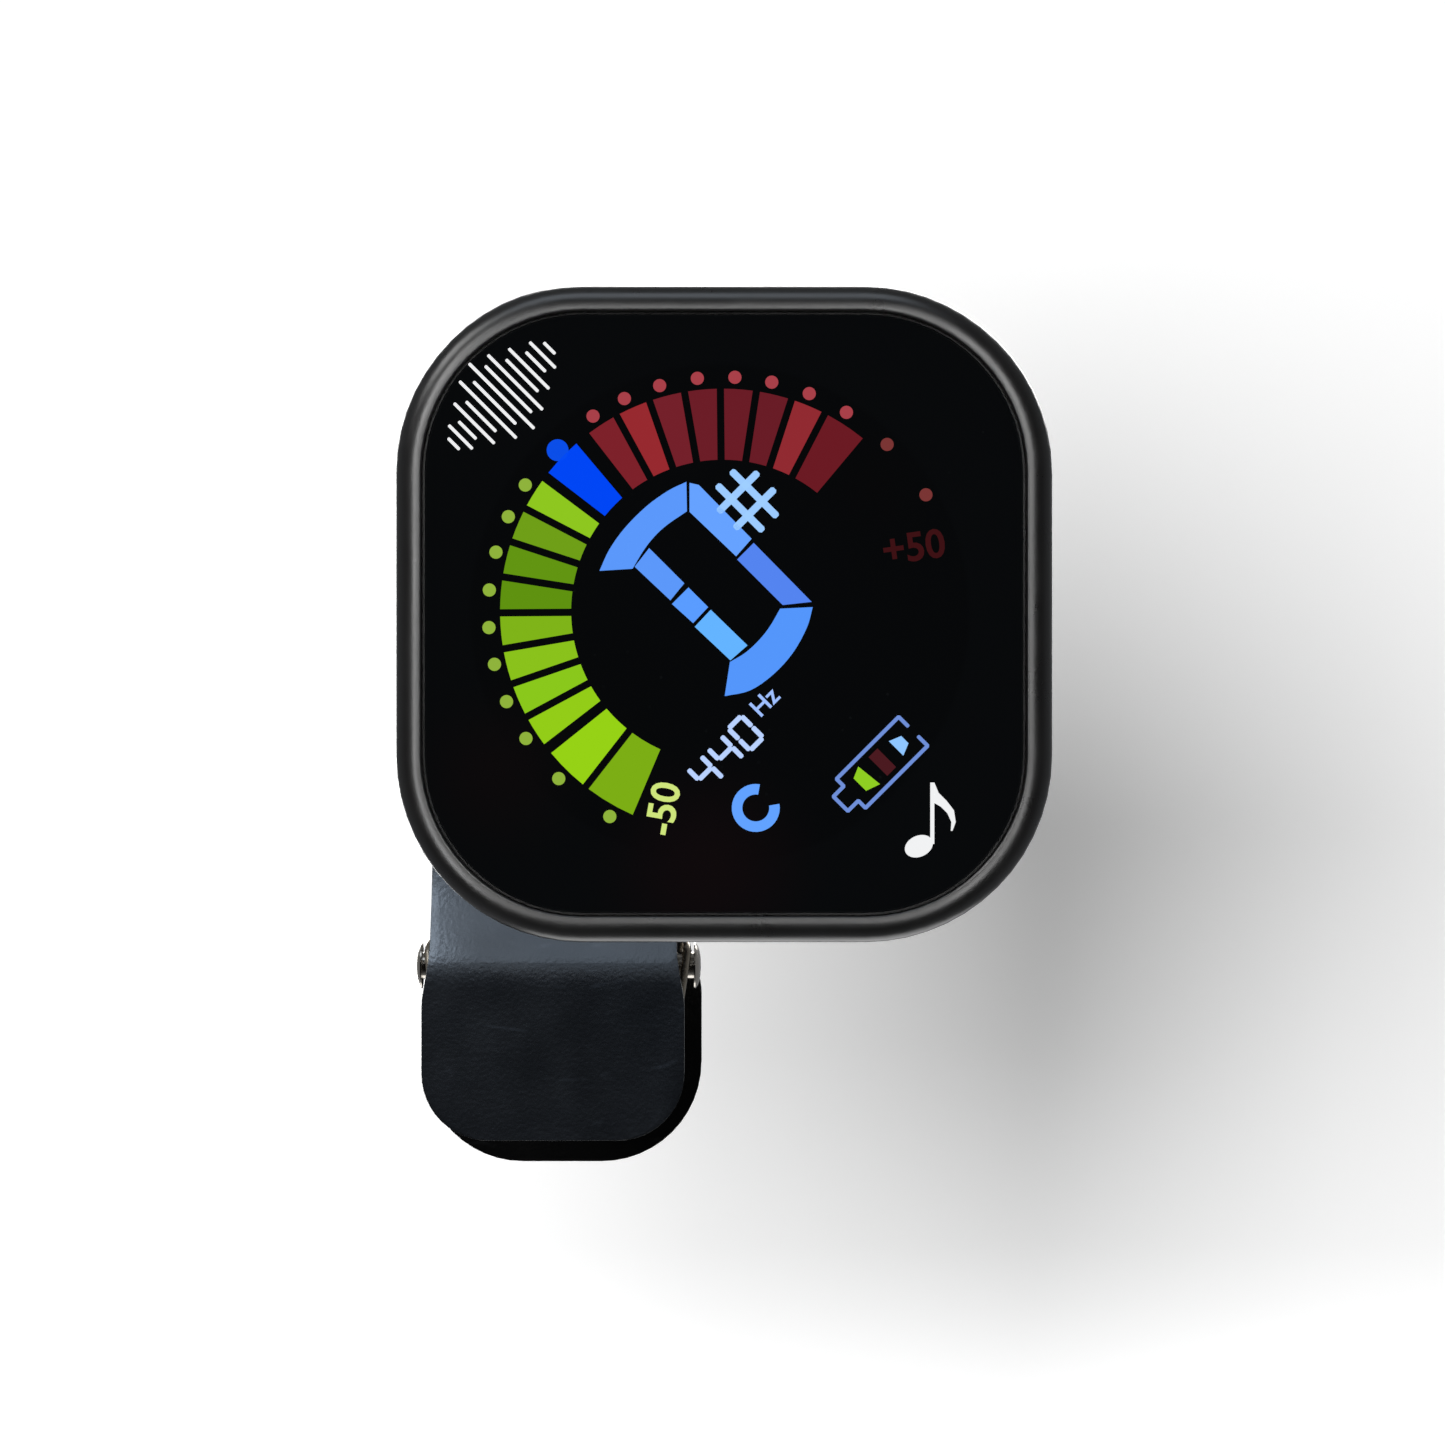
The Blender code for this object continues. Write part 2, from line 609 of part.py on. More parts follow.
def make_spring(name, sign):
    """A torsion spring round the pin: the front leg is outermost and leans in behind the front grip."""
    first, last = spring_sweep()
    reach_y = INNER_FACE + GRIP_STEP - SPRING_WIRE_RADIUS - CONTACT_GAP
    outside = SPRING_INSIDE + spring_width() - SPRING_WIRE_RADIUS
    inside = SPRING_INSIDE + SPRING_WIRE_RADIUS
    steps = 24
    points = [(outside - SPRING_LEG_LEAN, -reach_y, -SPRING_LEG_DROP)]
    for i in range(steps + 1):
        angle = first + (last - first) * i / steps
        x = outside + (inside - outside) * i / steps
        points.append((x, SPRING_COIL_RADIUS * math.cos(angle), SPRING_COIL_RADIUS * math.sin(angle)))
    points.append((inside, reach_y, -SPRING_LEG_DROP))
    curve = bpy.data.curves.new(name, "CURVE")
    curve.dimensions = "3D"
    curve.bevel_depth = SPRING_WIRE_RADIUS
    curve.bevel_resolution = 2
    curve.use_fill_caps = True
    spline = curve.splines.new("POLY")
    spline.points.add(len(points) - 1)
    for point, (x, y, z) in zip(spline.points, points):
        point.co = (sign * x, MID_Y + y, PIN_Z + z, 1)
    obj = bpy.data.objects.new(name, curve)
    bpy.context.scene.collection.objects.link(obj)
    return part(obj, name, "bright_steel")


def make_clip(jaw_axis):
    long_pin = 30 * MM
    front = make_lever(-1, FRONT_JAW_WIDTH, FRONT_GRIP_WIDTH, FRONT_GRIP_REACH, FRONT_GRIP_CORNER,
                       FRONT_KNUCKLE_INSIDE)
    join(front, tilt_ear(-1), tilt_ear(1))
    cut(front, pin_hole(PIN_RADIUS, MID_Y, PIN_Z, long_pin),
        pin_hole(TILT_PIN_RADIUS, TILT_Y, SWIVEL_Z, long_pin))
    part(front, "front_lever", "black_lever")

    rear = make_lever(1, REAR_JAW_WIDTH, REAR_GRIP_WIDTH, REAR_GRIP_REACH, REAR_GRIP_CORNER,
                      REAR_KNUCKLE_INSIDE)
    join(rear, shut_stop())
    cut(rear, pin_hole(PIN_RADIUS, MID_Y, PIN_Z, long_pin))
    part(rear, "rear_lever", "black_lever", jaw_axis)

    make_pad("front_pad", -1, None)
    make_pad("rear_pad", 1, jaw_axis)
    make_hinge_pin()
    make_spring("spring_left", -1)
    make_spring("spring_right", 1)


# ---------------------------------------------------------------- swivel and tilt joint

def make_swivel(tilt_axis):
    flange_front = FLANGE_BACK_Y - FLANGE_THICKNESS
    neck_end = FRONT_Y + COVER_INNER - RUNNING_GAP
    hub = cylinder(FLANGE_RADIUS, FLANGE_THICKNESS, (0, FLANGE_BACK_Y - FLANGE_THICKNESS / 2, SWIVEL_Z),
                   FACING_Y, 48)
    neck_back = flange_front + HUB_OVERLAP
    neck = cylinder(NECK_RADIUS, neck_back - neck_end, (0, (neck_back + neck_end) / 2, SWIVEL_Z), FACING_Y)
    root = FLANGE_BACK_Y - HUB_OVERLAP
    tongue = side_plate(
        [(root, SWIVEL_Z + EAR_RADIUS + TONGUE_FOOT_SPREAD),
         (root, SWIVEL_Z - EAR_RADIUS - TONGUE_FOOT_SPREAD),
         *arc((TILT_Y, SWIVEL_Z), EAR_RADIUS, math.radians(-90), math.radians(90), 12)],
        -TONGUE_WIDTH / 2, TONGUE_WIDTH / 2)
    join(hub, neck, tongue)
    thread = cylinder(SWIVEL_SCREW_RADIUS + PIN_CLEARANCE, 5 * MM, (0, neck_end, SWIVEL_Z), FACING_Y, 24)
    cut(hub, pin_hole(TILT_PIN_RADIUS, TILT_Y, SWIVEL_Z, 3 * TONGUE_WIDTH), thread)
    part(hub, "swivel_hub", "black_lever", tilt_axis)

    washer_back = neck_end - CONTACT_GAP
    washer = turned([(WASHER_RADIUS, WASHER_THICKNESS), (WASHER_RADIUS, 0),
                     (SWIVEL_SCREW_RADIUS + PIN_CLEARANCE, 0),
                     (SWIVEL_SCREW_RADIUS + PIN_CLEARANCE, WASHER_THICKNESS),
                     (WASHER_RADIUS, WASHER_THICKNESS)],
                    (0, washer_back, SWIVEL_Z), FACING_Y)
    part(washer, "swivel_washer", "bright_steel", tilt_axis)

    head_back = washer_back - WASHER_THICKNESS - CONTACT_GAP
    top = SWIVEL_SCREW_HEAD
    screw = turned([(0, top), (SWIVEL_SCREW_HEAD_RADIUS * 0.85, top), (SWIVEL_SCREW_HEAD_RADIUS, top * 0.7),
                    (SWIVEL_SCREW_HEAD_RADIUS, 0), (SWIVEL_SCREW_RADIUS, 0), (SWIVEL_SCREW_RADIUS, -2.6 * MM),
                    (0, -2.6 * MM)], (0, head_back, SWIVEL_Z), FACING_Y, 24)
    part(screw, "swivel_screw", "bright_steel", tilt_axis)

    half = TONGUE_WIDTH / 2 + RUNNING_GAP + EAR_THICKNESS
    pin = turned([(0, half), (TILT_PIN_RADIUS, half), (TILT_PIN_RADIUS, -half), (0, -half)],
                 (0, TILT_Y, SWIVEL_Z), ALONG_X, 24)
    part(pin, "tilt_pin", "bright_steel")


# ---------------------------------------------------------------- head: case, lens and cover

def boss_places():
    """Head-centred places of the screws: three corners, and two sides next to the swivel."""
    far, out, along = CORNER_BOSS, SIDE_BOSS_OUT, SWIVEL_INSET - SIDE_BOSS_ALONG
    return [(-far, far), (far, far), (far, -far), (-out, -along), (-along, -out)]


def boss_clearances(front, back):
    return [head_cylinder(BOSS_RADIUS + RUNNING_GAP, front, back, at, 20) for at in boss_places()]


def usb_place():
    """Head-centred middle of the charging socket, its mouth just inside the wall's outer face."""
    return HEAD_SIZE / 2 - USB_MOUTH_INSET - USB_SHELL.x / 2, USB_HEIGHT


def usb_outline(grow):
    """The socket's outline as (Y, Z) points, grown outwards by grow."""
    y = FRONT_Y + BOARD_BACK + CONTACT_GAP + USB_SHELL.y / 2
    z = HEAD_Z + USB_HEIGHT
    half_y, half_z = USB_SHELL.y / 2 + grow, USB_SHELL.z / 2 + grow
    corner = half_y * 0.8
    signs = ((-1, -1), (1, -1), (1, 1), (-1, 1))
    return rounded([(y + a * half_y, z + b * half_z, corner) for a, b in signs], 5)


def make_case(swivel_axis):
    case = head_plate(rounded_square(HEAD_SIZE, HEAD_CORNER), 0, CASE_END)
    round_edges(case, HEAD_EDGE, 4, at_depth(0))
    cavity_front = LEDGE_BACK
    past = 1 * MM
    window = head_plate(rounded_square(WINDOW_SIZE, WINDOW_CORNER), -past, LEDGE_FRONT)
    opening = WINDOW_SIZE - 2 * LEDGE_WIDTH
    through = head_plate(rounded_square(opening, LCD_CORNER + RUNNING_GAP), -past, cavity_front + past)
    cavity = head_plate(rounded_square(CAVITY_SIZE, CAVITY_CORNER), cavity_front, CASE_END + past)
    cut(case, window, through, cavity)
    boss_front = LCD_BACK + RUNNING_GAP
    for at in boss_places():
        join(case, head_cylinder(BOSS_RADIUS, boss_front, CASE_END, at, 20))
    for at in boss_places():
        cut(case, head_cylinder(SCREW_RADIUS + CONTACT_GAP, boss_front + 1.5 * MM, CASE_END + past, at, 16))
    wall = HEAD_X + HEAD_SIZE / 2
    cut(case, side_plate(usb_outline(RUNNING_GAP), wall - 3 * HEAD_WALL, wall + past))
    part(case, "front_case", "black_case", swivel_axis)


def make_lens(swivel_axis):
    corner = WINDOW_CORNER - RUNNING_GAP
    lens = head_plate(rounded_square(LENS_SIZE, corner), LENS_RECESS, LENS_BACK)
    part(lens, "lens", "black_glass", swivel_axis)
    front = LENS_BACK + TAPE_GAP
    tape = head_plate(rounded_square(LENS_SIZE, corner), front, front + TAPE_THICKNESS)
    inside = WINDOW_SIZE - 2 * LEDGE_WIDTH
    hole = head_plate(rounded_square(inside, LCD_CORNER + RUNNING_GAP), front - 1 * MM, front + 1 * MM)
    cut(tape, hole)
    part(tape, "lens_tape", "tape", swivel_axis)


def make_rear_cover(swivel_axis):
    cover = head_plate(rounded_square(HEAD_SIZE, HEAD_CORNER), COVER_INNER, HEAD_DEPTH)
    round_edges(cover, BACK_EDGE, 3, at_depth(HEAD_DEPTH))
    outside = CAVITY_SIZE - 2 * RUNNING_GAP
    corner = CAVITY_CORNER - RUNNING_GAP
    past = 1 * MM
    front, back = COVER_INNER - COVER_LIP_HEIGHT, COVER_INNER + COVER_LIP_ROOT
    lip = head_plate(rounded_square(outside, corner), front, back)
    inner = rounded_square(outside - 2 * COVER_LIP_WIDTH, corner - COVER_LIP_WIDTH)
    usb_room = Vector((USB_SHELL.x + 4 * MM, back - front + 2 * past, USB_SHELL.z + 4 * RUNNING_GAP))
    cut(lip, head_plate(inner, front - past, back + past), *boss_clearances(front - past, back + past),
        head_box(usb_room, front - past, usb_place()))
    join(cover, meshed(lip))
    for at in boss_places():
        cut(cover,
            head_cylinder(SCREW_RADIUS + RUNNING_GAP, COVER_INNER - past, HEAD_DEPTH + past, at, 20),
            head_cylinder(SCREW_HEAD_RADIUS + RUNNING_GAP, HEAD_DEPTH - SCREW_HEAD_THICKNESS - CONTACT_GAP,
                          HEAD_DEPTH + past, at, 24))
    for at in BUTTONS.values():
        cut(cover, head_cylinder(BUTTON_RADIUS + RUNNING_GAP, COVER_INNER - past, HEAD_DEPTH + past, at))
    swivel_at = (-SWIVEL_INSET, -SWIVEL_INSET)
    cut(cover, head_cylinder(NECK_RADIUS + CONTACT_GAP, COVER_INNER - past, HEAD_DEPTH + past, swivel_at, 32))
    part(cover, "rear_cover", "black_case", swivel_axis)


def make_screws(swivel_axis):
    """Five cross-head screws that share one mesh."""
    top = 0
    under = -SCREW_HEAD_THICKNESS
    screw = turned([(0, top), (SCREW_HEAD_RADIUS * 0.8, top), (SCREW_HEAD_RADIUS, under * 0.4),
                    (SCREW_HEAD_RADIUS, under), (SCREW_RADIUS, under), (SCREW_RADIUS, under - SCREW_LENGTH),
                    (0, under - SCREW_LENGTH - SCREW_TIP)], (0, 0, 0), (0, 0, 0), 20)
    slot = Vector((SCREW_HEAD_RADIUS * 1.2, SCREW_SLOT_WIDTH, 2 * SCREW_SLOT_DEPTH))
    cut(screw, box(slot, (0, 0, 0)), box(Vector((slot.y, slot.x, slot.z)), (0, 0, 0)))
    shape = meshed(screw)
    for number, at in enumerate(boss_places(), start=1):
        obj = bpy.data.objects.new("screw", shape.data)
        bpy.context.scene.collection.objects.link(obj)
        top_depth = HEAD_DEPTH - CONTACT_GAP / 2
        place(obj, (HEAD_X + at[0], FRONT_Y + top_depth, HEAD_Z + at[1]), Euler((math.radians(-90), 0, 0)))
        part(obj, f"cover_screw_{number}", "bright_steel", swivel_axis)
    bpy.data.objects.remove(shape)


# ---------------------------------------------------------------- head: display and electronics

def make_display(swivel_axis):
    lcd = head_plate(rounded_square(LCD_SIZE, LCD_CORNER, 6), LENS_BACK + CONTACT_GAP, LCD_BACK)
    part(lcd, "lcd_panel", "display", swivel_axis)

    tray_back = TRAY_FRONT + TRAY_DEPTH
    tray = head_plate(rounded_square(TRAY_SIZE, TRAY_CORNER, 6), TRAY_FRONT, tray_back)
    pocket = head_plate(rounded_square(GUIDE_SIZE + 2 * RUNNING_GAP, GUIDE_CORNER, 6),
                        TRAY_FRONT - 1 * MM, tray_back - TRAY_FLOOR)
    cut(tray, pocket, *boss_clearances(TRAY_FRONT - 1 * MM, tray_back + 1 * MM))
    part(tray, "backlight_tray", "white_plastic", swivel_axis)

    guide_front = TRAY_FRONT + CONTACT_GAP
    guide_back = tray_back - TRAY_FLOOR - CONTACT_GAP
    guide = head_plate(rounded_square(GUIDE_SIZE, GUIDE_CORNER, 6), guide_front, guide_back)
    room = Vector((LED_STRIP_WIDTH + 2 * RUNNING_GAP, 4 * TRAY_DEPTH, 2 * (LED_STRIP_DEPTH + RUNNING_GAP)))
    for boss in boss_clearances(guide_front - 1 * MM, guide_back + 1 * MM):
        cut(guide, boss)
    cut(guide, head_box(room, guide_front - room.y / 2, (0, GUIDE_SIZE / 2)))
    part(guide, "light_guide", "clear_acrylic", swivel_axis)

    strip = head_box(Vector((LED_STRIP_WIDTH, guide_back - guide_front, LED_STRIP_DEPTH)), guide_front,
                     (0, GUIDE_SIZE / 2 - LED_STRIP_DEPTH / 2))
    part(strip, "backlight_led_strip", "white_plastic", swivel_axis)


def make_display_ribbon(swivel_axis):
    """A flexible strip from the panel's top edge, round the edge of the tray to the board."""
    near = HEAD_Z + LCD_SIZE / 2 + CONTACT_GAP
    far = HEAD_Z + RIBBON_OUT
    front = FRONT_Y + LEDGE_BACK + CONTACT_GAP
    back = FRONT_Y + BOARD_FRONT - CONTACT_GAP
    outline = rounded([
        (front, near, 0),
        (front, far, RIBBON_BEND),
        (back, far, 0),
        (back, far - RIBBON_THICKNESS, 0),
        (front + RIBBON_THICKNESS, far - RIBBON_THICKNESS, RIBBON_BEND / 2),
        (front + RIBBON_THICKNESS, near, 0),
    ])
    ribbon = side_plate(outline, HEAD_X - RIBBON_WIDTH / 2, HEAD_X + RIBBON_WIDTH / 2)
    part(ribbon, "display_ribbon", "ribbon_film", swivel_axis)


def make_usb_socket(swivel_axis):
    at = usb_place()
    right = HEAD_X + at[0] + USB_SHELL.x / 2
    left = right - USB_SHELL.x
    shell = side_plate(usb_outline(0), left, right)
    cut(shell, side_plate(usb_outline(-USB_WALL), left + 1.2 * MM, right + 1 * MM))
    part(shell, "usb_socket_shell", "bright_steel", swivel_axis)
    tongue = Vector((USB_SHELL.x - 2.8 * MM, 0.7 * MM, USB_SHELL.z - 2.4 * MM))
    middle = (left + 1.3 * MM + tongue.x / 2, FRONT_Y + BOARD_BACK + CONTACT_GAP + USB_SHELL.y / 2,
              HEAD_Z + USB_HEIGHT)
    part(box(tongue, middle), "usb_socket_tongue", "chip_black", swivel_axis)


def make_electronics(swivel_axis):
    outline = rounded_square(BOARD_SIZE, CAVITY_CORNER - BOARD_CORNER_EASE, 8)
    board = head_plate(outline, BOARD_FRONT, BOARD_BACK)
    cut(board, *boss_clearances(BOARD_FRONT - 1 * MM, BOARD_BACK + 1 * MM))
    part(board, "main_board", "board_green", swivel_axis)
    on_board = BOARD_BACK + CONTACT_GAP
    part(head_box(PROCESSOR, on_board, PROCESSOR_AT), "processor_chip", "chip_black", swivel_axis)
    part(head_box(CHARGER, on_board, CHARGER_AT), "charger_chip", "chip_black", swivel_axis)
    pad = Vector((BATTERY.x - 6 * MM, BATTERY_TAPE, BATTERY.z - 5 * MM))
    part(head_box(pad, on_board, BATTERY_AT), "battery_tape", "tape", swivel_axis)
    part(head_box(BATTERY, BATTERY_FRONT, BATTERY_AT), "battery_cell", "cell_foil", swivel_axis)
    plate_back = COVER_INNER - CONTACT_GAP
    plate_front = plate_back - PIEZO_LAYER
    plate = head_cylinder(PIEZO_RADIUS, plate_front, plate_back, PIEZO_AT, 32)
    part(plate, "piezo_plate", "brass", swivel_axis)
    ceramic = head_cylinder(PIEZO_CERAMIC_RADIUS, plate_front - CONTACT_GAP - PIEZO_LAYER,
                            plate_front - CONTACT_GAP, PIEZO_AT, 32)
    part(ceramic, "piezo_ceramic", "ceramic", swivel_axis)


def smooth_path(points, per_span=4):
    """Points read from a Catmull-Rom curve through the given ones."""
    ends = [points[0] * 2 - points[1], *points, points[-1] * 2 - points[-2]]
    found = []
    for a, b, c, d in zip(ends, ends[1:], ends[2:], ends[3:]):
        for i in range(per_span):
            t = i / per_span
            found.append(0.5 * (2 * b + (c - a) * t + (2 * a - 5 * b + 4 * c - d) * t * t
                                + (3 * b - a - 3 * c + d) * t * t * t))
    return found + [points[-1]]


def make_lead(name, material, route, swivel_axis):
    """A thin wire inside the head, through (X, depth, Z) points from the head's centre."""
    points = smooth_path([Vector((HEAD_X + x, FRONT_Y + depth, HEAD_Z + z)) for x, depth, z in route])
    curve = bpy.data.curves.new(name, "CURVE")
    curve.dimensions = "3D"
    curve.bevel_depth = LEAD_RADIUS
    curve.bevel_resolution = 2
    curve.use_fill_caps = True
    spline = curve.splines.new("POLY")
    spline.points.add(len(points) - 1)
    for point, co in zip(spline.points, points):
        point.co = (*co, 1)
    obj = bpy.data.objects.new(name, curve)
    bpy.context.scene.collection.objects.link(obj)
    return part(obj, name, material, swivel_axis)


def make_leads(swivel_axis):
    solder = BOARD_BACK + CONTACT_GAP + LEAD_RADIUS
    lying = solder + 0.4 * MM
    cell_left = BATTERY_AT[0] - BATTERY.x / 2
    cell_low = BATTERY_AT[1] - BATTERY.z / 2
    exit_depth = BATTERY_FRONT + BATTERY.y / 2
    battery_leads = (("battery_lead_red", "lead_red", 0), ("battery_lead_black", "lead_black", 1))
    for name, material, shift in battery_leads:
        x = cell_left + (1.4 + 1.3 * shift) * MM
        make_lead(name, material, [
            (x, exit_depth, cell_low - CONTACT_GAP),
            (x, exit_depth, cell_low - 1.0 * MM),
            (x - 1.4 * MM, lying + 0.3 * MM, cell_low - (2.3 + shift) * MM),
            (x - 2.6 * MM, solder, cell_low - (2.9 + 1.3 * shift) * MM),
        ], swivel_axis)
    behind = COVER_INNER - 2 * CONTACT_GAP - 2 * PIEZO_LAYER - CONTACT_GAP - LEAD_RADIUS
    px, pz = PIEZO_AT
    for name, material, shift in (("piezo_lead_red", "lead_red", 0), ("piezo_lead_black", "lead_black", 1)):
        x = px - (1.0 - 0.6 * shift) * MM
        z = pz + (0.5 + 1.0 * shift) * MM
        make_lead(name, material, [
            (x, behind, z),
            (x - 2.0 * MM, behind - 0.3 * MM, z + 1.0 * MM),
            (x - 4.0 * MM, lying + 0.4 * MM, z + 2.1 * MM),
            (x - 5.0 * MM, solder, z + 2.5 * MM),
        ], swivel_axis)


def make_button(name, at, swivel_axis, button_axis):
    body = head_box(Vector((SWITCH_SIZE, SWITCH_HEIGHT, SWITCH_SIZE)), BOARD_BACK + CONTACT_GAP, at)
    well = PLUNGER_DEPTH + BUTTON_TRAVEL + CONTACT_GAP
    cut(body, head_cylinder(PLUNGER_RADIUS + CONTACT_GAP, SWITCH_TOP - well, SWITCH_TOP + 1 * MM, at, 20))
    part(body, f"{name}_switch_body", "chip_black", swivel_axis)

    plunger_top = SWITCH_TOP + BUTTON_TRAVEL + CONTACT_GAP
    plunger = head_cylinder(PLUNGER_RADIUS, SWITCH_TOP - PLUNGER_DEPTH, plunger_top, at, 20)
    part(plunger, f"{name}_switch_plunger", "white_plastic", button_axis)

    collar_back = COVER_INNER - CONTACT_GAP
    collar_front = collar_back - BUTTON_FLANGE
    stem_front = plunger_top + CONTACT_GAP
    stem = PLUNGER_RADIUS * 1.4
    top = HEAD_DEPTH + BUTTON_PROUD
    profile = [
        (0, top),
        (BUTTON_RADIUS - BUTTON_EDGE, top),
        (BUTTON_RADIUS, top - BUTTON_EDGE_DEPTH),
        (BUTTON_RADIUS, collar_back),
        (BUTTON_RADIUS + BUTTON_COLLAR, collar_back),
        (BUTTON_RADIUS + BUTTON_COLLAR, collar_front),
        (stem, collar_front),
        (stem, stem_front),
        (0, stem_front),
    ]
    cap = turned(profile, (HEAD_X + at[0], FRONT_Y, HEAD_Z + at[1]), Euler((math.radians(-90), 0, 0)), 32)
    part(cap, f"{name}_button", "pad_rubber", button_axis)


def make_head(swivel_axis):
    make_case(swivel_axis)
    make_lens(swivel_axis)
    make_display(swivel_axis)
    make_display_ribbon(swivel_axis)
    make_electronics(swivel_axis)
    make_usb_socket(swivel_axis)
    make_leads(swivel_axis)
    for name, at in BUTTONS.items():
        button_axis = joint_empty(f"{name}_press_axis", (HEAD_X + at[0], BACK_Y, HEAD_Z + at[1]))
        make_button(name, at, swivel_axis, button_axis)
    make_rear_cover(swivel_axis)
    make_screws(swivel_axis)


def main():
    jaw_axis = joint_empty("jaw_axis", (0, MID_Y, PIN_Z))
    tilt_axis = joint_empty("tilt_axis", (0, TILT_Y, SWIVEL_Z))
    swivel_axis = joint_empty("swivel_axis", (0, BACK_Y, SWIVEL_Z))
    make_clip(jaw_axis)
    make_swivel(tilt_axis)
    make_head(swivel_axis)


main()
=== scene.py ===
import math

import bmesh
import bpy
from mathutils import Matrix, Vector
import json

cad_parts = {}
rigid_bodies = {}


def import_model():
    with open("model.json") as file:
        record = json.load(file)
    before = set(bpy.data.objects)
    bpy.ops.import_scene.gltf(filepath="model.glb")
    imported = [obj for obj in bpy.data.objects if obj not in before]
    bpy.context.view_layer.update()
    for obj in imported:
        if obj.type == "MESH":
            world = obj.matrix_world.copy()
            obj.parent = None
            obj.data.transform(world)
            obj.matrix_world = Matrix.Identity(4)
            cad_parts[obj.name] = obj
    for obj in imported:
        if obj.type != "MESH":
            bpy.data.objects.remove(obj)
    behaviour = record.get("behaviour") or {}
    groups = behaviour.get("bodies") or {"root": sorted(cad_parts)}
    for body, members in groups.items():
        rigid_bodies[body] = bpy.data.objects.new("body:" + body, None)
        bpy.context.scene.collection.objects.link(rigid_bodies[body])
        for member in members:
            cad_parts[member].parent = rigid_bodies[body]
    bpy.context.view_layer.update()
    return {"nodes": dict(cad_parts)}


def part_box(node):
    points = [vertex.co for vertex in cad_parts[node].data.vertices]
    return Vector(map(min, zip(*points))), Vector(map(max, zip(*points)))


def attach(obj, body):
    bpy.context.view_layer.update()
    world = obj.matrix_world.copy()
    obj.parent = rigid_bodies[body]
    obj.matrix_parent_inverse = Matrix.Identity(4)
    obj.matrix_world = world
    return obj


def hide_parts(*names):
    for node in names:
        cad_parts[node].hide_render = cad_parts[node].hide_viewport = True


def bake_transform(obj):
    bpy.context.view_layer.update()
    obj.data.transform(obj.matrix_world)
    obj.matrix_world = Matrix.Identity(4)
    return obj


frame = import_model()
print("stage 1: frame loaded,", len(frame["nodes"]), "pieces")

mm = 0.001
scene = bpy.context.scene
scene.view_settings.view_transform = "Standard"

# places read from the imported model
caseLow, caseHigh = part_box("front_case")
coverLow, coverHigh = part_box("rear_cover")
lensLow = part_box("lens")[0]
pinLow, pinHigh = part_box("hinge_pin")
tiltLow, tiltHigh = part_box("tilt_pin")
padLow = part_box("front_pad")[0]
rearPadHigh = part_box("rear_pad")[1]
headX = (caseLow.x + caseHigh.x) / 2
headZ = (caseLow.z + caseHigh.z) / 2
headFront = caseLow.y
headBack = coverHigh.y
headSize = caseHigh.x - caseLow.x
pinY = (pinLow.y + pinHigh.y) / 2
pinZ = (pinLow.z + pinHigh.z) / 2
tiltY = (tiltLow.y + tiltHigh.y) / 2
tiltZ = (tiltLow.z + tiltHigh.z) / 2


def spanOf(node):
    # a node's middle and its half sizes, in millimetres
    low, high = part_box(node)
    return (low + high) / 2 / mm, (high - low) / 2 / mm


def toLinear(hexText):
    # an sRGB hex colour as linear red, green, blue, alpha
    parts = [int(hexText[i:i + 2], 16) / 255 for i in (1, 3, 5)]
    return [p / 12.92 if p <= 0.04045 else ((p + 0.055) / 1.055) ** 2.4 for p in parts] + [1.0]


def addNode(tree, kind, settings=None, links=None):
    # one shader node: settings go to its sockets or its own options, links to its inputs
    node = tree.nodes.new("ShaderNode" + kind)
    for key, value in (settings or {}).items():
        if isinstance(key, int) or key in node.inputs:
            node.inputs[key].default_value = value
        else:
            setattr(node, key, value)
    for key, source in (links or {}).items():
        tree.links.new(source, node.inputs[key])
    return node


def makeMaterial(look):
    # the layers every finish here shares: two close colours in soft patches, uneven gloss, a fine relief
    made = bpy.data.materials.new(look["name"])
    made.use_nodes = True
    tree = made.node_tree
    shader = tree.nodes["Principled BSDF"]
    shader.inputs["IOR"].default_value = look.get("ior", 1.5)
    shader.inputs["Metallic"].default_value = look.get("metallic", 0.0)
    for socket, value in look.get("sockets", {}).items():
        shader.inputs[socket].default_value = value
    place = addNode(tree, "TexCoord").outputs["Object"]
    stretch = look.get("stretch", (1, 1, 1))
    vector = addNode(tree, "Mapping", {"Scale": stretch}, {"Vector": place}).outputs["Vector"]
    patch = addNode(tree, "TexNoise", {"Scale": 1 / (look["patch"] * mm), "Detail": 4.0}, {"Vector": place})
    tones = {"data_type": "RGBA", 6: toLinear(look["colour"]), 7: toLinear(look["colour2"])}
    colour = addNode(tree, "Mix", tones, {0: patch.outputs["Fac"]})
    grain = addNode(tree, "TexNoise", {"Scale": 1 / (look["grain"] * mm), "Detail": 2.0}, {"Vector": vector})
    smudge = addNode(tree, "TexNoise", {"Scale": 2.2 / (look["patch"] * mm), "Detail": 6.0},
                     {"Vector": vector})
    gloss = addNode(tree, "MapRange", {"From Min": 0.3, "From Max": 0.7, "To Min": look["roughness"][0],
                                       "To Max": look["roughness"][1]}, {"Value": smudge.outputs["Fac"]})
    bump = addNode(tree, "Bump", {"Strength": look.get("relief", 0.3), "Distance": look["depth"] * mm},
                   {"Height": grain.outputs["Fac"]})
    tree.links.new(colour.outputs[2], shader.inputs["Base Color"])
    tree.links.new(gloss.outputs["Result"], shader.inputs["Roughness"])
    tree.links.new(bump.outputs["Normal"], shader.inputs["Normal"])
    return made


def partsOf(material):
    # the nodes that a finish may build further on
    tree = material.node_tree
    kinds = {node.bl_idname: node for node in tree.nodes}
    return tree, tree.nodes["Principled BSDF"], kinds["ShaderNodeMix"], kinds["ShaderNodeMapRange"]


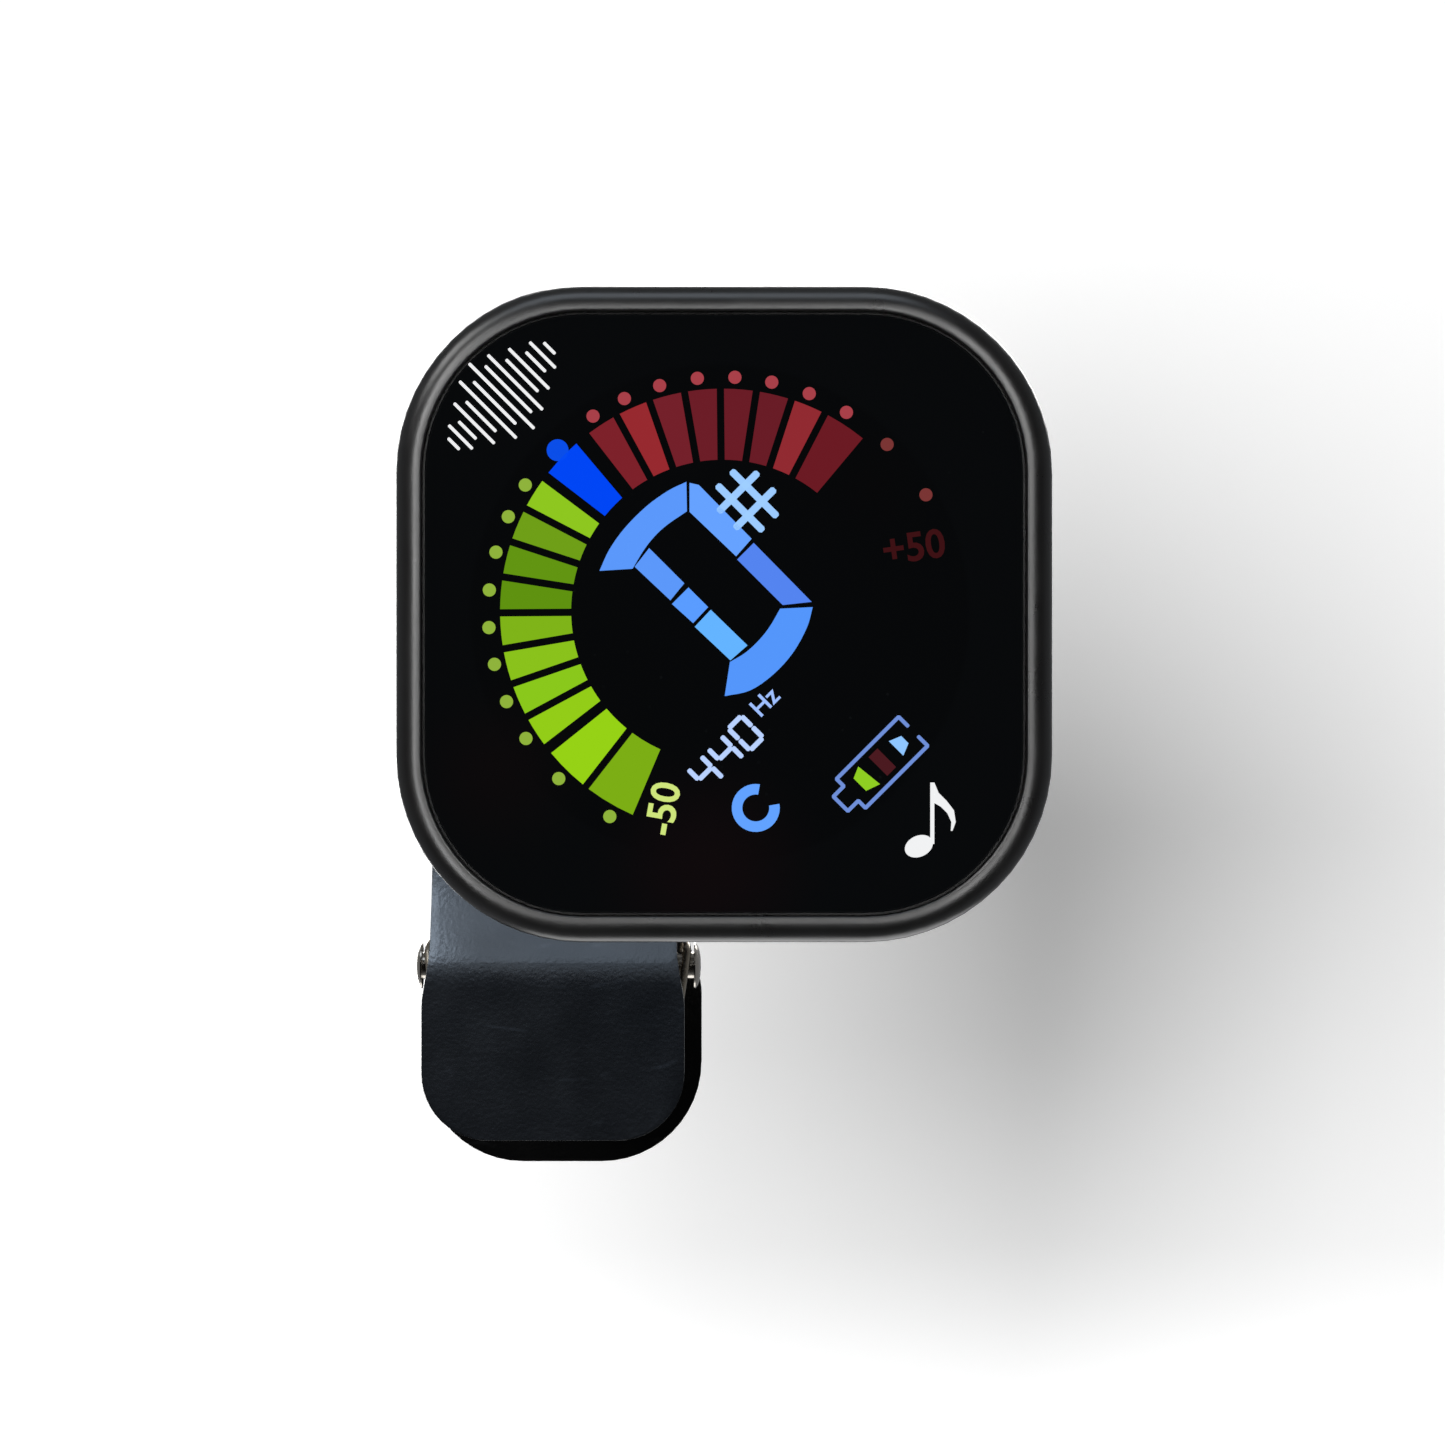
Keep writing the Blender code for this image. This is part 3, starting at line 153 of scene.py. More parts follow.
# moulded ABS, spark-eroded tool: a satin black that breaks every highlight into a fine even grain
mouldedAbs = makeMaterial({
    "name": "moulded ABS", "colour": "#090909", "colour2": "#0f0e0e", "roughness": (0.26, 0.34), "ior": 1.54,
    "patch": 9.0, "grain": 0.22, "depth": 0.012, "relief": 0.35})

# glass-filled nylon, moulded in a leathery tool: matt near-black whose grain shows where light rakes it
filledNylon = makeMaterial({
    "name": "glass-filled nylon", "colour": "#0c0c0d", "colour2": "#121213", "roughness": (0.36, 0.46),
    "ior": 1.53, "patch": 7.0, "grain": 0.34, "depth": 0.045, "relief": 0.75,
    "sockets": {"Specular IOR Level": 0.35}})

# liquid silicone rubber: soft bloom, no clear highlight
siliconeRubber = makeMaterial({
    "name": "silicone rubber", "colour": "#17181a", "colour2": "#222326", "roughness": (0.62, 0.8),
    "ior": 1.41, "patch": 4.0, "grain": 0.18, "depth": 0.02, "relief": 0.4,
    "sockets": {"Sheen Weight": 0.25}})

# stainless steel turned on a lathe: bright, with fine rings round the axis
turnedSteel = makeMaterial({
    "name": "turned stainless steel", "colour": "#b9b4ac", "colour2": "#a29c93", "roughness": (0.16, 0.3),
    "metallic": 1.0, "patch": 3.0, "grain": 0.16, "depth": 0.006, "stretch": (6, 1, 1)})

# spring wire, cold drawn: long die lines along the wire and a warm oil film
springWire = makeMaterial({
    "name": "drawn spring wire", "colour": "#a89f90", "colour2": "#7e776c", "roughness": (0.2, 0.36),
    "metallic": 1.0, "patch": 1.6, "grain": 0.12, "depth": 0.006, "stretch": (4, 1, 1)})

# black zinc screws: dark metal with a slight rainbow dullness, bright where the driver has rubbed
blackZinc = makeMaterial({
    "name": "black zinc plate", "colour": "#2a2a2e", "colour2": "#3b3a38", "roughness": (0.26, 0.42),
    "metallic": 1.0, "patch": 0.9, "grain": 0.12, "depth": 0.008})

# nickel plate on pressed sheet: the socket shell, bright with soft rolling lines along its length
nickelShell = makeMaterial({
    "name": "nickel plated sheet", "colour": "#c9c4b8", "colour2": "#b3ada0", "roughness": (0.14, 0.26),
    "metallic": 1.0, "patch": 2.4, "grain": 0.14, "depth": 0.004, "stretch": (1, 5, 5)})

# hard-coated acrylic, printed black behind: a deep wet black with hairline scratches and dust, and a faint
# painted haze of light over it
acrylicWithPaintedHaze = makeMaterial({
    "name": "hard-coated acrylic", "colour": "#0e0f11", "colour2": "#141619", "roughness": (0.03, 0.06),
    "ior": 1.49, "patch": 12.0, "grain": 6.0, "depth": 0.002, "relief": 0.02,
    "sockets": {"Emission Color": toLinear("#060708"), "Emission Strength": 1.0}})   # painted haze: a faint even glow over the whole window

# pad-printed ink: flat opaque white, a little rough, with a painted glow that keeps it bright whatever lights
# it
inkWithPaintedGlow = makeMaterial({
    "name": "pad-printed ink", "colour": "#f4f5f6", "colour2": "#e6e8ea", "roughness": (0.4, 0.55),
    "ior": 1.5, "patch": 1.2, "grain": 0.12, "depth": 0.004,
    "sockets": {"Emission Color": toLinear("#f4f5f6"), "Emission Strength": 0.88}})


def scuffGrip(material):
    # a few faint curved rubs, where a thumb and other gear have polished the nylon
    tree, shader, colour = partsOf(material)[:3]
    place = addNode(tree, "TexCoord").outputs["Object"]
    wave = {"wave_type": "RINGS", "rings_direction": "Y", "Scale": 1 / (11 * mm), "Distortion": 6.0,
            "Detail": 3.0, "Detail Scale": 0.8}
    rings = addNode(tree, "TexWave", wave, {"Vector": place})
    thin = addNode(tree, "MapRange", {"From Min": 0.975, "From Max": 1.0}, {"Value": rings.outputs["Fac"]})
    broken = addNode(tree, "TexNoise", {"Scale": 1 / (2.5 * mm), "Detail": 3.0}, {"Vector": place})
    gaps = addNode(tree, "MapRange", {"From Min": 0.55, "From Max": 0.7}, {"Value": broken.outputs["Fac"]})
    rub = addNode(tree, "Math", {"operation": "MULTIPLY"},
                  {0: thin.outputs["Result"], 1: gaps.outputs["Result"]})
    pale = addNode(tree, "Mix", {"data_type": "RGBA", 7: toLinear("#1f2022")},
                   {0: rub.outputs[0], 6: colour.outputs[2]})
    tree.links.new(pale.outputs[2], shader.inputs["Base Color"])


def dustAndPaintedGlowOnLens(material):
    # the display's round window, painted glows (warm patches of light painted into its colour), hairline
    # scratches and specks of dust
    tree, shader, colour, gloss = partsOf(material)
    place = addNode(tree, "TexCoord").outputs["Object"]
    base = colour.outputs[2]
    for centre, radius, edge, tone in windowDiscAndPaintedGlows:
        far = addNode(tree, "VectorMath", {"operation": "DISTANCE", 1: (centre[0], lensLow.y, centre[1])},
                      {0: place})
        near = addNode(tree, "MapRange", {"interpolation_type": "SMOOTHSTEP", "From Min": radius * mm,
                                          "From Max": (radius - edge) * mm}, {"Value": far.outputs["Value"]})
        base = addNode(tree, "Mix", {"data_type": "RGBA", 7: toLinear(tone)},
                       {0: near.outputs["Result"], 6: base}).outputs[2]
    specks = addNode(tree, "TexVoronoi", {"Scale": 1 / (1.5 * mm)}, {"Vector": place})
    small = addNode(tree, "MapRange", {"From Min": 0.09, "From Max": 0.05},
                    {"Value": specks.outputs["Distance"]})
    region = addNode(tree, "TexNoise", {"Scale": 1 / (10 * mm)}, {"Vector": place})
    some = addNode(tree, "MapRange", {"From Min": 0.54, "From Max": 0.68}, {"Value": region.outputs["Fac"]})
    dust = addNode(tree, "Math", {"operation": "MULTIPLY"},
                   {0: small.outputs["Result"], 1: some.outputs["Result"]})
    dusty = addNode(tree, "Mix", {"data_type": "RGBA", 7: toLinear("#2c2e30")}, {0: dust.outputs[0], 6: base})
    turned = addNode(tree, "Mapping", {"Rotation": (0, math.radians(9), 0), "Scale": (0.03, 1, 1)},
                     {"Vector": place})
    lines = addNode(tree, "TexNoise", {"Scale": 1 / (0.35 * mm), "Detail": 2.0},
                    {"Vector": turned.outputs[0]})
    hair = addNode(tree, "MapRange", {"From Min": 0.70, "From Max": 0.76, "To Max": 0.22},
                   {"Value": lines.outputs["Fac"]})
    rough = addNode(tree, "Math", {"operation": "ADD"},
                    {0: gloss.outputs["Result"], 1: hair.outputs["Result"]})
    tree.links.new(dusty.outputs[2], shader.inputs["Base Color"])
    tree.links.new(rough.outputs[0], shader.inputs["Roughness"])


def asObject(work, name):
    # the worked mesh as an object in the scene
    data = bpy.data.meshes.new(name)
    work.to_mesh(data)
    work.free()
    obj = bpy.data.objects.new(name, data)
    scene.collection.objects.link(obj)
    return obj


def shaped(work):
    bmesh.ops.recalc_face_normals(work, faces=work.faces)
    return asObject(work, "shape")


def skin(work, rows, around=True, caps=False):
    # faces between neighbouring rows of points; around joins each row's last point to its first
    for one, two in zip(rows, rows[1:]):
        for i in range(len(one) if around else len(one) - 1):
            j = (i + 1) % len(one)
            work.faces.new((one[i], one[j], two[j], two[i]))
    if caps:
        work.faces.new(rows[0])
        work.faces.new(rows[-1])
    return shaped(work)


def settle(obj):
    # its modifiers worked into its mesh
    bpy.context.view_layer.update()
    graph = bpy.context.evaluated_depsgraph_get()
    done = bpy.data.meshes.new_from_object(obj.evaluated_get(graph))
    obj.modifiers.clear()
    obj.data = done
    return obj


def soften(obj, width, segments=3, angle=40):
    # rounds the edges sharper than angle
    bevel = obj.modifiers.new("softened", "BEVEL")
    bevel.width = width * mm
    bevel.segments = segments
    bevel.limit_method = "ANGLE"
    bevel.angle_limit = math.radians(angle)
    return settle(obj)


def carve(obj, cutter):
    step = obj.modifiers.new("carved", "BOOLEAN")
    step.operation = "DIFFERENCE"
    step.solver = "EXACT"
    step.object = cutter
    settle(obj)
    bpy.data.objects.remove(cutter)
    return obj


def finishPiece(name, shapes, material, body, standsFor=(), sharp=32):
    # joins the shapes into one named piece, smooths it and lets it ride on its body
    joined = bmesh.new()
    for shape in shapes:
        joined.from_mesh(shape.data)
        bpy.data.objects.remove(shape)
    obj = asObject(joined, name)
    obj.data.materials.append(material)
    obj.data.shade_smooth()
    obj.data.set_sharp_from_angle(angle=math.radians(sharp))
    even = obj.modifiers.new("even shading", "WEIGHTED_NORMAL")
    even.keep_sharp = True
    for node in standsFor:
        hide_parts(node)
    if body:
        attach(obj, body)
    return obj


def rounded(corners, steps=6, closed=True):
    # an outline from (x, y, radius) corners, in millimetres
    points = []
    count = len(corners)
    for i, (x, y, radius) in enumerate(corners):
        if radius <= 0 or (not closed and i in (0, count - 1)):
            points.append((x, y))
            continue
        here = Vector((x, y))
        back = (Vector(corners[i - 1][:2]) - here).normalized()
        ahead = (Vector(corners[(i + 1) % count][:2]) - here).normalized()
        half = back.angle(ahead) / 2
        centre = here + (back + ahead).normalized() * (radius / math.sin(half))
        first = here + back * (radius / math.tan(half)) - centre
        last = here + ahead * (radius / math.tan(half)) - centre
        start = math.atan2(first.y, first.x)
        sweep = math.atan2(first.x * last.y - first.y * last.x, first.dot(last))
        points += [(centre.x + radius * math.cos(start + sweep * k / steps),
                    centre.y + radius * math.sin(start + sweep * k / steps)) for k in range(steps + 1)]
    return points


def roundedBox(halfX, halfY, corner, steps=6, at=(0, 0)):
    return rounded([(at[0] + a * halfX, at[1] + b * halfY, corner)
                    for a, b in ((-1, -1), (1, -1), (1, 1), (-1, 1))], steps)


def slab(outline, low, high, facing):
    # an outline in millimetres given thickness: facing Y takes (x, z) points, facing X takes (y, z)
    work = bmesh.new()
    rings = []
    for depth in (low, high):
        spots = [(a, depth, b) if facing == "Y" else (depth, a, b) for a, b in outline]
        rings.append([work.verts.new(Vector(spot) * mm) for spot in spots])
    return skin(work, rings, caps=True)


def frameBody(profile, size, corner, centre, capped=False, steps=14):
    # a cross-section of (inset, depth) points carried round a rounded square, depth counted along +Y
    work = bmesh.new()
    rings = []
    for inset, depth in profile:
        outline = roundedBox(size / 2 - inset, size / 2 - inset, max(corner - inset, 0.3), steps)
        rings.append([work.verts.new((centre[0] + a * mm, centre[1] + depth * mm, centre[2] + b * mm))
                      for a, b in outline])
    return skin(work, rings if capped else rings + rings[:1], caps=capped)


def turnedBody(profile, centre, axis, steps=48, closed=False):
    # a lathe shape from (radius, along) points in millimetres, round an axis through centre; closed is a ring
    work = bmesh.new()
    rings = []
    for radius, along in profile:
        ring = []
        for i in range(steps if radius > 0 else 1):
            turn = 2 * math.pi * i / steps
            a, b = radius * math.cos(turn), radius * math.sin(turn)
            spot = Vector((along, a, b)) if axis == "X" else Vector((a, along, b))
            ring.append(work.verts.new(Vector(centre) + spot * mm))
        rings.append(ring)
    for one, two in zip(rings, rings[1:] + (rings[:1] if closed else [])):
        for i in range(steps):
            j = (i + 1) % steps
            corners = [one[i % len(one)], one[j % len(one)], two[j % len(two)], two[i % len(two)]]
            work.faces.new(list(dict.fromkeys(corners)))
    for ring in (rings[0], rings[-1]):
        if len(ring) > 1 and not closed:
            work.faces.new(ring)
    return shaped(work)


def tubeBody(points, radius, sides=12):
    # a round wire through points in metres, its ends closed
    work = bmesh.new()
    across = (points[1] - points[0]).orthogonal().normalized()
    rings = []
    for i, point in enumerate(points):
        along = (points[min(i + 1, len(points) - 1)] - points[max(i - 1, 0)]).normalized()
        across = (across - along * across.dot(along)).normalized()
        other = along.cross(across)
        rings.append([work.verts.new(point + (across * math.cos(2 * math.pi * k / sides)
                                              + other * math.sin(2 * math.pi * k / sides)) * radius * mm)
                      for k in range(sides)])
    return skin(work, rings, caps=True)


def arcPoints(centre, radius, start, end, steps, other=None):
    # points along an arc, its ends in degrees; other is the second radius of an ellipse
    turns = [math.radians(start + (end - start) * i / steps) for i in range(steps + 1)]
    return [(centre[0] + radius * math.cos(t), centre[1] + (other or radius) * math.sin(t)) for t in turns]


def bandOutline(radius, width, start, end, steps=16):
    # a curved band between two radii
    return (arcPoints((0, 0), radius + width / 2, start, end, steps)
            + arcPoints((0, 0), radius - width / 2, end, start, steps))


headLook = {
    "corner": 12.8, "wall": 1.5, "frontRound": 1.62, "frontDrop": 1.35, "innerRound": 0.2,
    "windowInset": 1.85, "ledge": 1.7, "ledgeDepth": 1.35, "ledgeThick": 0.8, "caseEnd": 9.45, "seam": 0.15,
    "backRound": 0.9, "depth": 11.0, "lip": (1.9, 2.9), "lipRise": 1.2, "socketGap": 0.2, "socketFlare": 0.25,
}
headAt = (headX, headFront, headZ)


def socketOutline(margin):
    # the charging socket's rounded outline, this much larger all round
    middle, half = spanOf("usb_socket_shell")
    y, z = half.y + margin, half.z + margin
    return roundedBox(y, z, y * 0.8, 8, (middle.y, middle.z))


def makeCase(look):
    r, drop, inner = look["frontRound"], look["frontDrop"], look["innerRound"]
    w, wall, end, seam = look["windowInset"], look["wall"], look["caseEnd"], look["seam"]
    front = look["ledgeDepth"]
    back = front + look["ledgeThick"]
    profile = [(0, end - seam), (0, 5.0), (0, drop + 0.4)]
    profile += arcPoints((r, drop), r, 180, 270, 10, drop)
    profile += arcPoints((w - inner, inner), inner, -90, 0, 5)
    profile += [(w, front), (w + look["ledge"], front), (w + look["ledge"], back), (wall, back), (wall, end),
                (seam, end)]
    case = frameBody(profile, headSize / mm, look["corner"], headAt)
    side = caseHigh.x / mm
    for margin, deep in ((look["socketGap"], 4), (look["socketGap"] + look["socketFlare"], 0.2)):
        carve(case, slab(socketOutline(margin), side - deep, side + 1, "X"))
    return finishPiece("frontCase", [case], mouldedAbs, "head", ["front_case"])


def makeLens():
    half = spanOf("lens")[1]
    edge, thick = 0.12, half.y * 2
    profile = [(0.35, thick), (0.0, thick), (0, edge), (0.05, 0.04), (edge, 0), (0.6, 0)]
    lens = frameBody(profile, half.x * 2, 10.75, (headX, lensLow.y, headZ), capped=True)
    return finishPiece("lensWindow", [lens], acrylicWithPaintedHaze, "head", ["lens"])


# round holes as (radius, depth, chamfer), and the shallow ring groove about the hub
backLook = {"screw": (1.8, 0.95, 0.12), "button": (3.1, 3.0, 0.22), "hub": (3.1, 3.0, 0.15),
            "groove": (6.75, 7.15), "grooveDepth": 0.25}


def makeRearCover(look):
    end, r, depth, seam = look["caseEnd"] + look["seam"], look["backRound"], look["depth"], look["seam"]
    outer, inner = look["lip"]
    rise = end - look["lipRise"]
    profile = [(inner, end), (inner, rise), (outer, rise), (outer, end), (seam, end), (0, end + seam)]
    profile += arcPoints((r, depth - r), r, 180, 90, 6)
    cover = frameBody(profile, headSize / mm, look["corner"], headAt, capped=True)
    holes = [(spanOf(f"cover_screw_{i}")[0], "screw") for i in range(1, 6)]
    holes += [(spanOf(node)[0], "button") for node in ("power_button", "mode_button")]
    for at, kind in holes + [(Vector((0, 0, tiltZ / mm)), "hub")]:
        radius, deep, chamfer = backLook[kind]
        tool = [(radius, -deep), (radius, -chamfer), (radius + chamfer, 0), (radius + chamfer, 0.6)]
        carve(cover, turnedBody(tool, (at.x * mm, headBack, at.z * mm), "Y", 40))
    near, far = backLook["groove"]
    ring = [(near, 0.5), (near, -backLook["grooveDepth"]), (far, -backLook["grooveDepth"]), (far, 0.5)]
    carve(cover, turnedBody(ring, (0, headBack, tiltZ), "Y", 64, closed=True))
    return finishPiece("rearCover", [cover], mouldedAbs, "head", ["rear_cover"])


screwLook = {"headRadius": 1.6, "headHeight": 0.75, "radius": 0.8, "length": 5.0, "pitch": 0.7, "recess": 0.5,
             "slot": (1.0, 0.19), "taper": 0.75}


def makeCoverScrew(number):
    look = screwLook
    middle, half = spanOf(f"cover_screw_{number}")
    at = Vector((middle.x, middle.y + half.y, middle.z)) * mm
    head, under, r = look["headRadius"], -look["headHeight"], look["radius"]
    profile = [(0, 0), (head * 0.62, -0.03), (head * 0.86, -0.12), (head * 0.97, -0.28), (head, -0.45),
               (head, under), (r, under)]
    for i in range(int(look["length"] / look["pitch"]) - 1):   # thread
        along = under - 0.3 - i * look["pitch"]
        profile += [(r - 0.18, along), (r, along - look["pitch"] / 2)]
    profile += [(r - 0.2, under - look["length"] + 0.3), (0, under - look["length"])]
    screw = turnedBody(profile, at, "Y", 36)
    for quarter in (0, math.pi / 2):   # cross recess, narrower at its bottom, turned its own way on each
        spin = math.radians(17 + 41 * number) + quarter
        long, wide = look["slot"]
        cutter = slab([(-long, -wide), (long, -wide), (long, wide), (-long, wide)], -look["recess"], 0.5, "Y")
        for vertex in cutter.data.vertices:
            x, z = vertex.co.x, vertex.co.z
            lean = look["taper"] if vertex.co.y < 0 else 1.0
            vertex.co.x = at.x + lean * (x * math.cos(spin) - z * math.sin(spin))
            vertex.co.z = at.z + lean * (x * math.sin(spin) + z * math.cos(spin))
            vertex.co.y += at.y
        carve(screw, cutter)
    return finishPiece(f"coverScrew{number}", [screw], blackZinc, "head",
                       [f"cover_screw_{number}"])


buttonLook = {"radius": 2.9, "flange": 3.5, "flangeThick": 0.45, "stem": 1.26, "dish": 0.1, "edge": 0.28}


def makeButton(node, symbol):
    look = buttonLook
    middle, half = spanOf(node)
    top, low = middle.y + half.y, middle.y - half.y
    back = coverLow.y / mm + 1.1   # the flange's face against the cover's wall
    front = back - look["flangeThick"]
    r, dish, edge = look["radius"], look["dish"], look["edge"]
    profile = [(0, top - dish), (1.2, top - dish * 0.8), (r - 0.75, top - 0.01), (r - 0.5, top)]
    profile += [(r - edge + edge * math.sin(math.radians(a)), top - edge + edge * math.cos(math.radians(a)))
                for a in (0, 22, 45, 67, 90)]
    profile += [(r, back), (look["flange"], back), (look["flange"], front), (look["stem"], front),
                (look["stem"], low), (0, low)]
    cap = turnedBody(profile, (middle.x * mm, 0, middle.z * mm), "Y", 56)
    name = node.split("_")[0]
    finishPiece(name + "Button", [cap], siliconeRubber, node, [node])
    # the mark is read from behind, so its own right is -X
    marks = [slab([(middle.x - a, middle.z + b) for a, b in outline], top - 0.06, top + 0.015, "Y")
             for outline in symbol]
    # the marks are white ink with a painted glow
    return finishPiece(name + "Symbol", marks, inkWithPaintedGlow, node)


powerSymbol = [bandOutline(1.0, 0.24, 125, 415, 28),
               [(-0.12, 0.15), (0.12, 0.15), (0.12, 1.35), (-0.12, 1.35)]]
modeSymbol = [bandOutline(0.35, 0.22, 0, 359, 20)] + [
    [(x - 0.11, -h), (x + 0.11, -h), (x + 0.11, h), (x - 0.11, h)] for x, h in ((-1.15, 0.55), (1.15, 0.55))]


socketLook = {"wall": 0.3, "deep": 1.2, "contacts": 12, "contactPitch": 0.5}


def makeUsbSocket():
    look = socketLook
    middle, half = spanOf("usb_socket_shell")
    left, right = middle.x - half.x, middle.x + half.x
    shell = slab(socketOutline(0), left, right, "X")
    carve(shell, slab(socketOutline(-look["wall"]), left + look["deep"], right + 1, "X"))
    soften(shell, 0.1, 2, 50)
    finishPiece("usbShell", [shell], nickelShell, "head", ["usb_socket_shell"])
    tongueAt, reach = spanOf("usb_socket_tongue")
    left, right = tongueAt.x - reach.x, tongueAt.x + reach.x
    tongue = slab(roundedBox(reach.y, reach.z, 0.3, 4, (middle.y, middle.z)), left, right, "X")
    soften(tongue, 0.12, 2, 50)
    finishPiece("usbTongue", [tongue], hidden["chip_black"], "head", ["usb_socket_tongue"])
    strips = []
    for side in (-1, 1):
        for i in range(look["contacts"]):
            z = middle.z + (i - (look["contacts"] - 1) / 2) * look["contactPitch"]
            outline = roundedBox(0.03, 0.13, 0.01, 1, (middle.y + side * reach.y, z))
            strips.append(slab(outline, left + 0.4, right - 0.5, "X"))
    finishPiece("usbContacts", strips, hidden["piezo_brass"], "head")


hubLook = {"radius": 6.2, "thick": 1.0, "neck": 3.0, "collar": 3.5, "tongue": 1.8, "nose": 2.0,
           "rootHalf": 2.6, "stand": 0.2}


def makeHub():
    look = hubLook
    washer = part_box("swivel_washer")[1].y / mm + 0.1
    back = headBack / mm + look["stand"]
    r, neck, collar, top = look["radius"], look["neck"], look["collar"], back + look["thick"]
    flange = [(0, top), (r - 0.6, top), (r - 0.25, top - 0.1), (r, top - 0.35), (r, back + 0.15),
              (r - 0.15, back), (neck, back), (neck, washer), (0, washer)]
    hub = turnedBody(flange, (0, 0, tiltZ), "Y", 64)
    y, z, root, half = tiltY / mm, tiltZ / mm, back + 0.6, look["rootHalf"]
    outline = [(root, z + half), (root, z - half), *arcPoints((y, z), look["nose"], -90, 90, 18)]
    tongue = soften(slab(outline, -look["tongue"], look["tongue"], "X"), 0.25, 3, 50)
    step = [(0, top + 0.35), (neck, top + 0.35), (collar, top - 0.05), (collar, top - 0.5), (0, top - 0.5)]
    foot = turnedBody(step, (0, 0, tiltZ), "Y", 56)
    return finishPiece("swivelHub", [hub, tongue, foot], filledNylon, "hub", ["swivel_hub"])


def makePin(name, node, centre, profile, steps, sharp=32):
    # a turned pin, the same at both ends
    ends = [(a, -b) for a, b in reversed(profile)]
    pin = turnedBody(profile + ends, centre, "X", steps)
    finishPiece(name, [pin], turnedSteel, "clip", [node], sharp=sharp)


def makeTiltPin():
    half = spanOf("tilt_pin")[1]
    end, r = half.x, half.z
    profile = [(0, end), (r * 0.3, end), (r * 0.72, end - 0.06), (r, end - 0.25)]
    makePin("tiltPin", "tilt_pin", (0, tiltY, tiltZ), profile, 36)


clipLook = {
    "thickness": 2.4, "step": 4.2, "bendHigh": 8.0, "bendLow": 0.5, "bendWide": 18.0, "bendTight": 4.0,
    "chamfer": 0.42, "jawTip": 27.5, "knuckle": 2.4, "knuckleRadius": 2.6, "widenFrom": 1.5, "widenOver": 4.0,
    "footLow": 3.5, "footHigh": 5.0,
}
frontLook = {"side": -1, "jaw": 17.8, "grip": 18.9, "reach": 12.0, "gripCorner": 4.8, "jawCorner": 4.0,
             "inside": 5.8}
rearLook = {"side": 1, "jaw": 19.2, "grip": 21.2, "reach": 15.4, "gripCorner": 7.6, "jawCorner": 4.0,
            "inside": 3.2}
stopLook = {"half": 2.0, "low": -10.1, "high": -8.5, "stand": 1.3}
grooveLook = {"count": 5, "first": 4.5, "pitch": 1.9, "wide": 0.75, "deep": 0.3, "half": 5.6,
              "narrowing": 0.25}
earLook = {"inside": 2.0, "outside": 4.2, "footHalf": 3.2, "nose": 2.0, "bore": 0.86, "boreMouth": 1.1,
           "bury": 0.8}


def leverSizes(look):
    pad = padLow.y if look["side"] < 0 else rearPadHigh.y
    inner = abs(pad - pinY) / mm + 0.1
    jawY = pinY / mm + look["side"] * (inner + clipLook["thickness"] / 2)
    return inner, jawY, jawY + look["side"] * clipLook["step"]


def leverPlate(look):
    # the bent plate: rows of points down its middle surface, thickened and edged
    z0 = pinZ / mm
    jawY, gripY = leverSizes(look)[1:]
    tip = z0 + clipLook["jawTip"]
    end = z0 - look["reach"]
    slope = math.atan2(clipLook["step"], clipLook["bendHigh"] - clipLook["bendLow"])
    shift = clipLook["thickness"] * math.tan(slope / 2) / 2
    high, low = (z0 + clipLook[bend] - shift for bend in ("bendHigh", "bendLow"))
    line = rounded([(jawY, tip, 0), (jawY, high, clipLook["bendWide"]), (gripY, low, clipLook["bendTight"]),
                    (gripY, end, 0)], 10, closed=False)

    def awayAt(z):
        for (y1, z1), (y2, z2) in zip(line, line[1:]):
            if z2 <= z <= z1:
                return y1 + (y2 - y1) * (z1 - z) / max(z1 - z2, 1e-6)
        return line[0][0] if z > tip else line[-1][0]

    def halfWidthAt(z):
        t = min(max((z0 + clipLook["widenFrom"] - z) / clipLook["widenOver"], 0), 1)
        half = (look["jaw"] + (look["grip"] - look["jaw"]) * t * t * (3 - 2 * t)) / 2
        for corner, gap in ((look["jawCorner"], tip - z), (look["gripCorner"], z - end)):
            if gap < corner:
                half -= corner - math.sqrt(max(corner ** 2 - (corner - gap) ** 2, 0))
        return half

    heights = {tip, end}
    for i in range(1, 13):
        turn = math.radians(90 * i / 12)
        heights.add(tip - look["jawCorner"] * (1 - math.cos(turn)))
        heights.add(end + look["gripCorner"] * (1 - math.cos(turn)))
    z = end + look["gripCorner"] + 0.6
    while z < tip - look["jawCorner"] - 0.4:
        heights.add(z)
        z += 0.4 if z0 - 3.5 < z < z0 + 10 else 1.4
    work = bmesh.new()
    across = [-1, -0.93, -0.8, -0.5, -0.2, 0, 0.2, 0.5, 0.8, 0.93, 1]
    rows = []
    for z in sorted(heights, reverse=True):
        half = halfWidthAt(z)
        rows.append([work.verts.new(Vector((half * t, awayAt(z), z)) * mm) for t in across])
    plate = skin(work, rows, around=False)
    solid = plate.modifiers.new("thickness", "SOLIDIFY")
    solid.thickness = clipLook["thickness"] * mm
    solid.offset = 0
    solid.use_even_offset = True
    settle(plate)
    return soften(plate, clipLook["chamfer"], 3, 50)


def knuckleShape(look, sign):
    # round about the pin, its foot inside the sloping wall
    y0, z0 = pinY / mm, pinZ / mm
    inner = leverSizes(look)[0]
    wall = inner + clipLook["thickness"] / 2
    rise = clipLook["step"] / (clipLook["bendHigh"] - clipLook["bendLow"])
    side = look["side"]
    footHigh = clipLook["footHigh"]
    outline = [(y0 + side * (wall + clipLook["step"]), z0 - clipLook["footLow"]),
               (y0 + side * (wall + rise * (clipLook["bendHigh"] - footHigh)), z0 + footHigh),
               *arcPoints((y0, z0), clipLook["knuckleRadius"], 90, 90 + 180 * side, 20)]
    ends = sorted((sign * look["inside"], sign * (look["inside"] + clipLook["knuckle"])))
    return soften(slab(outline, ends[0], ends[1], "X"), 0.3, 3, 50)


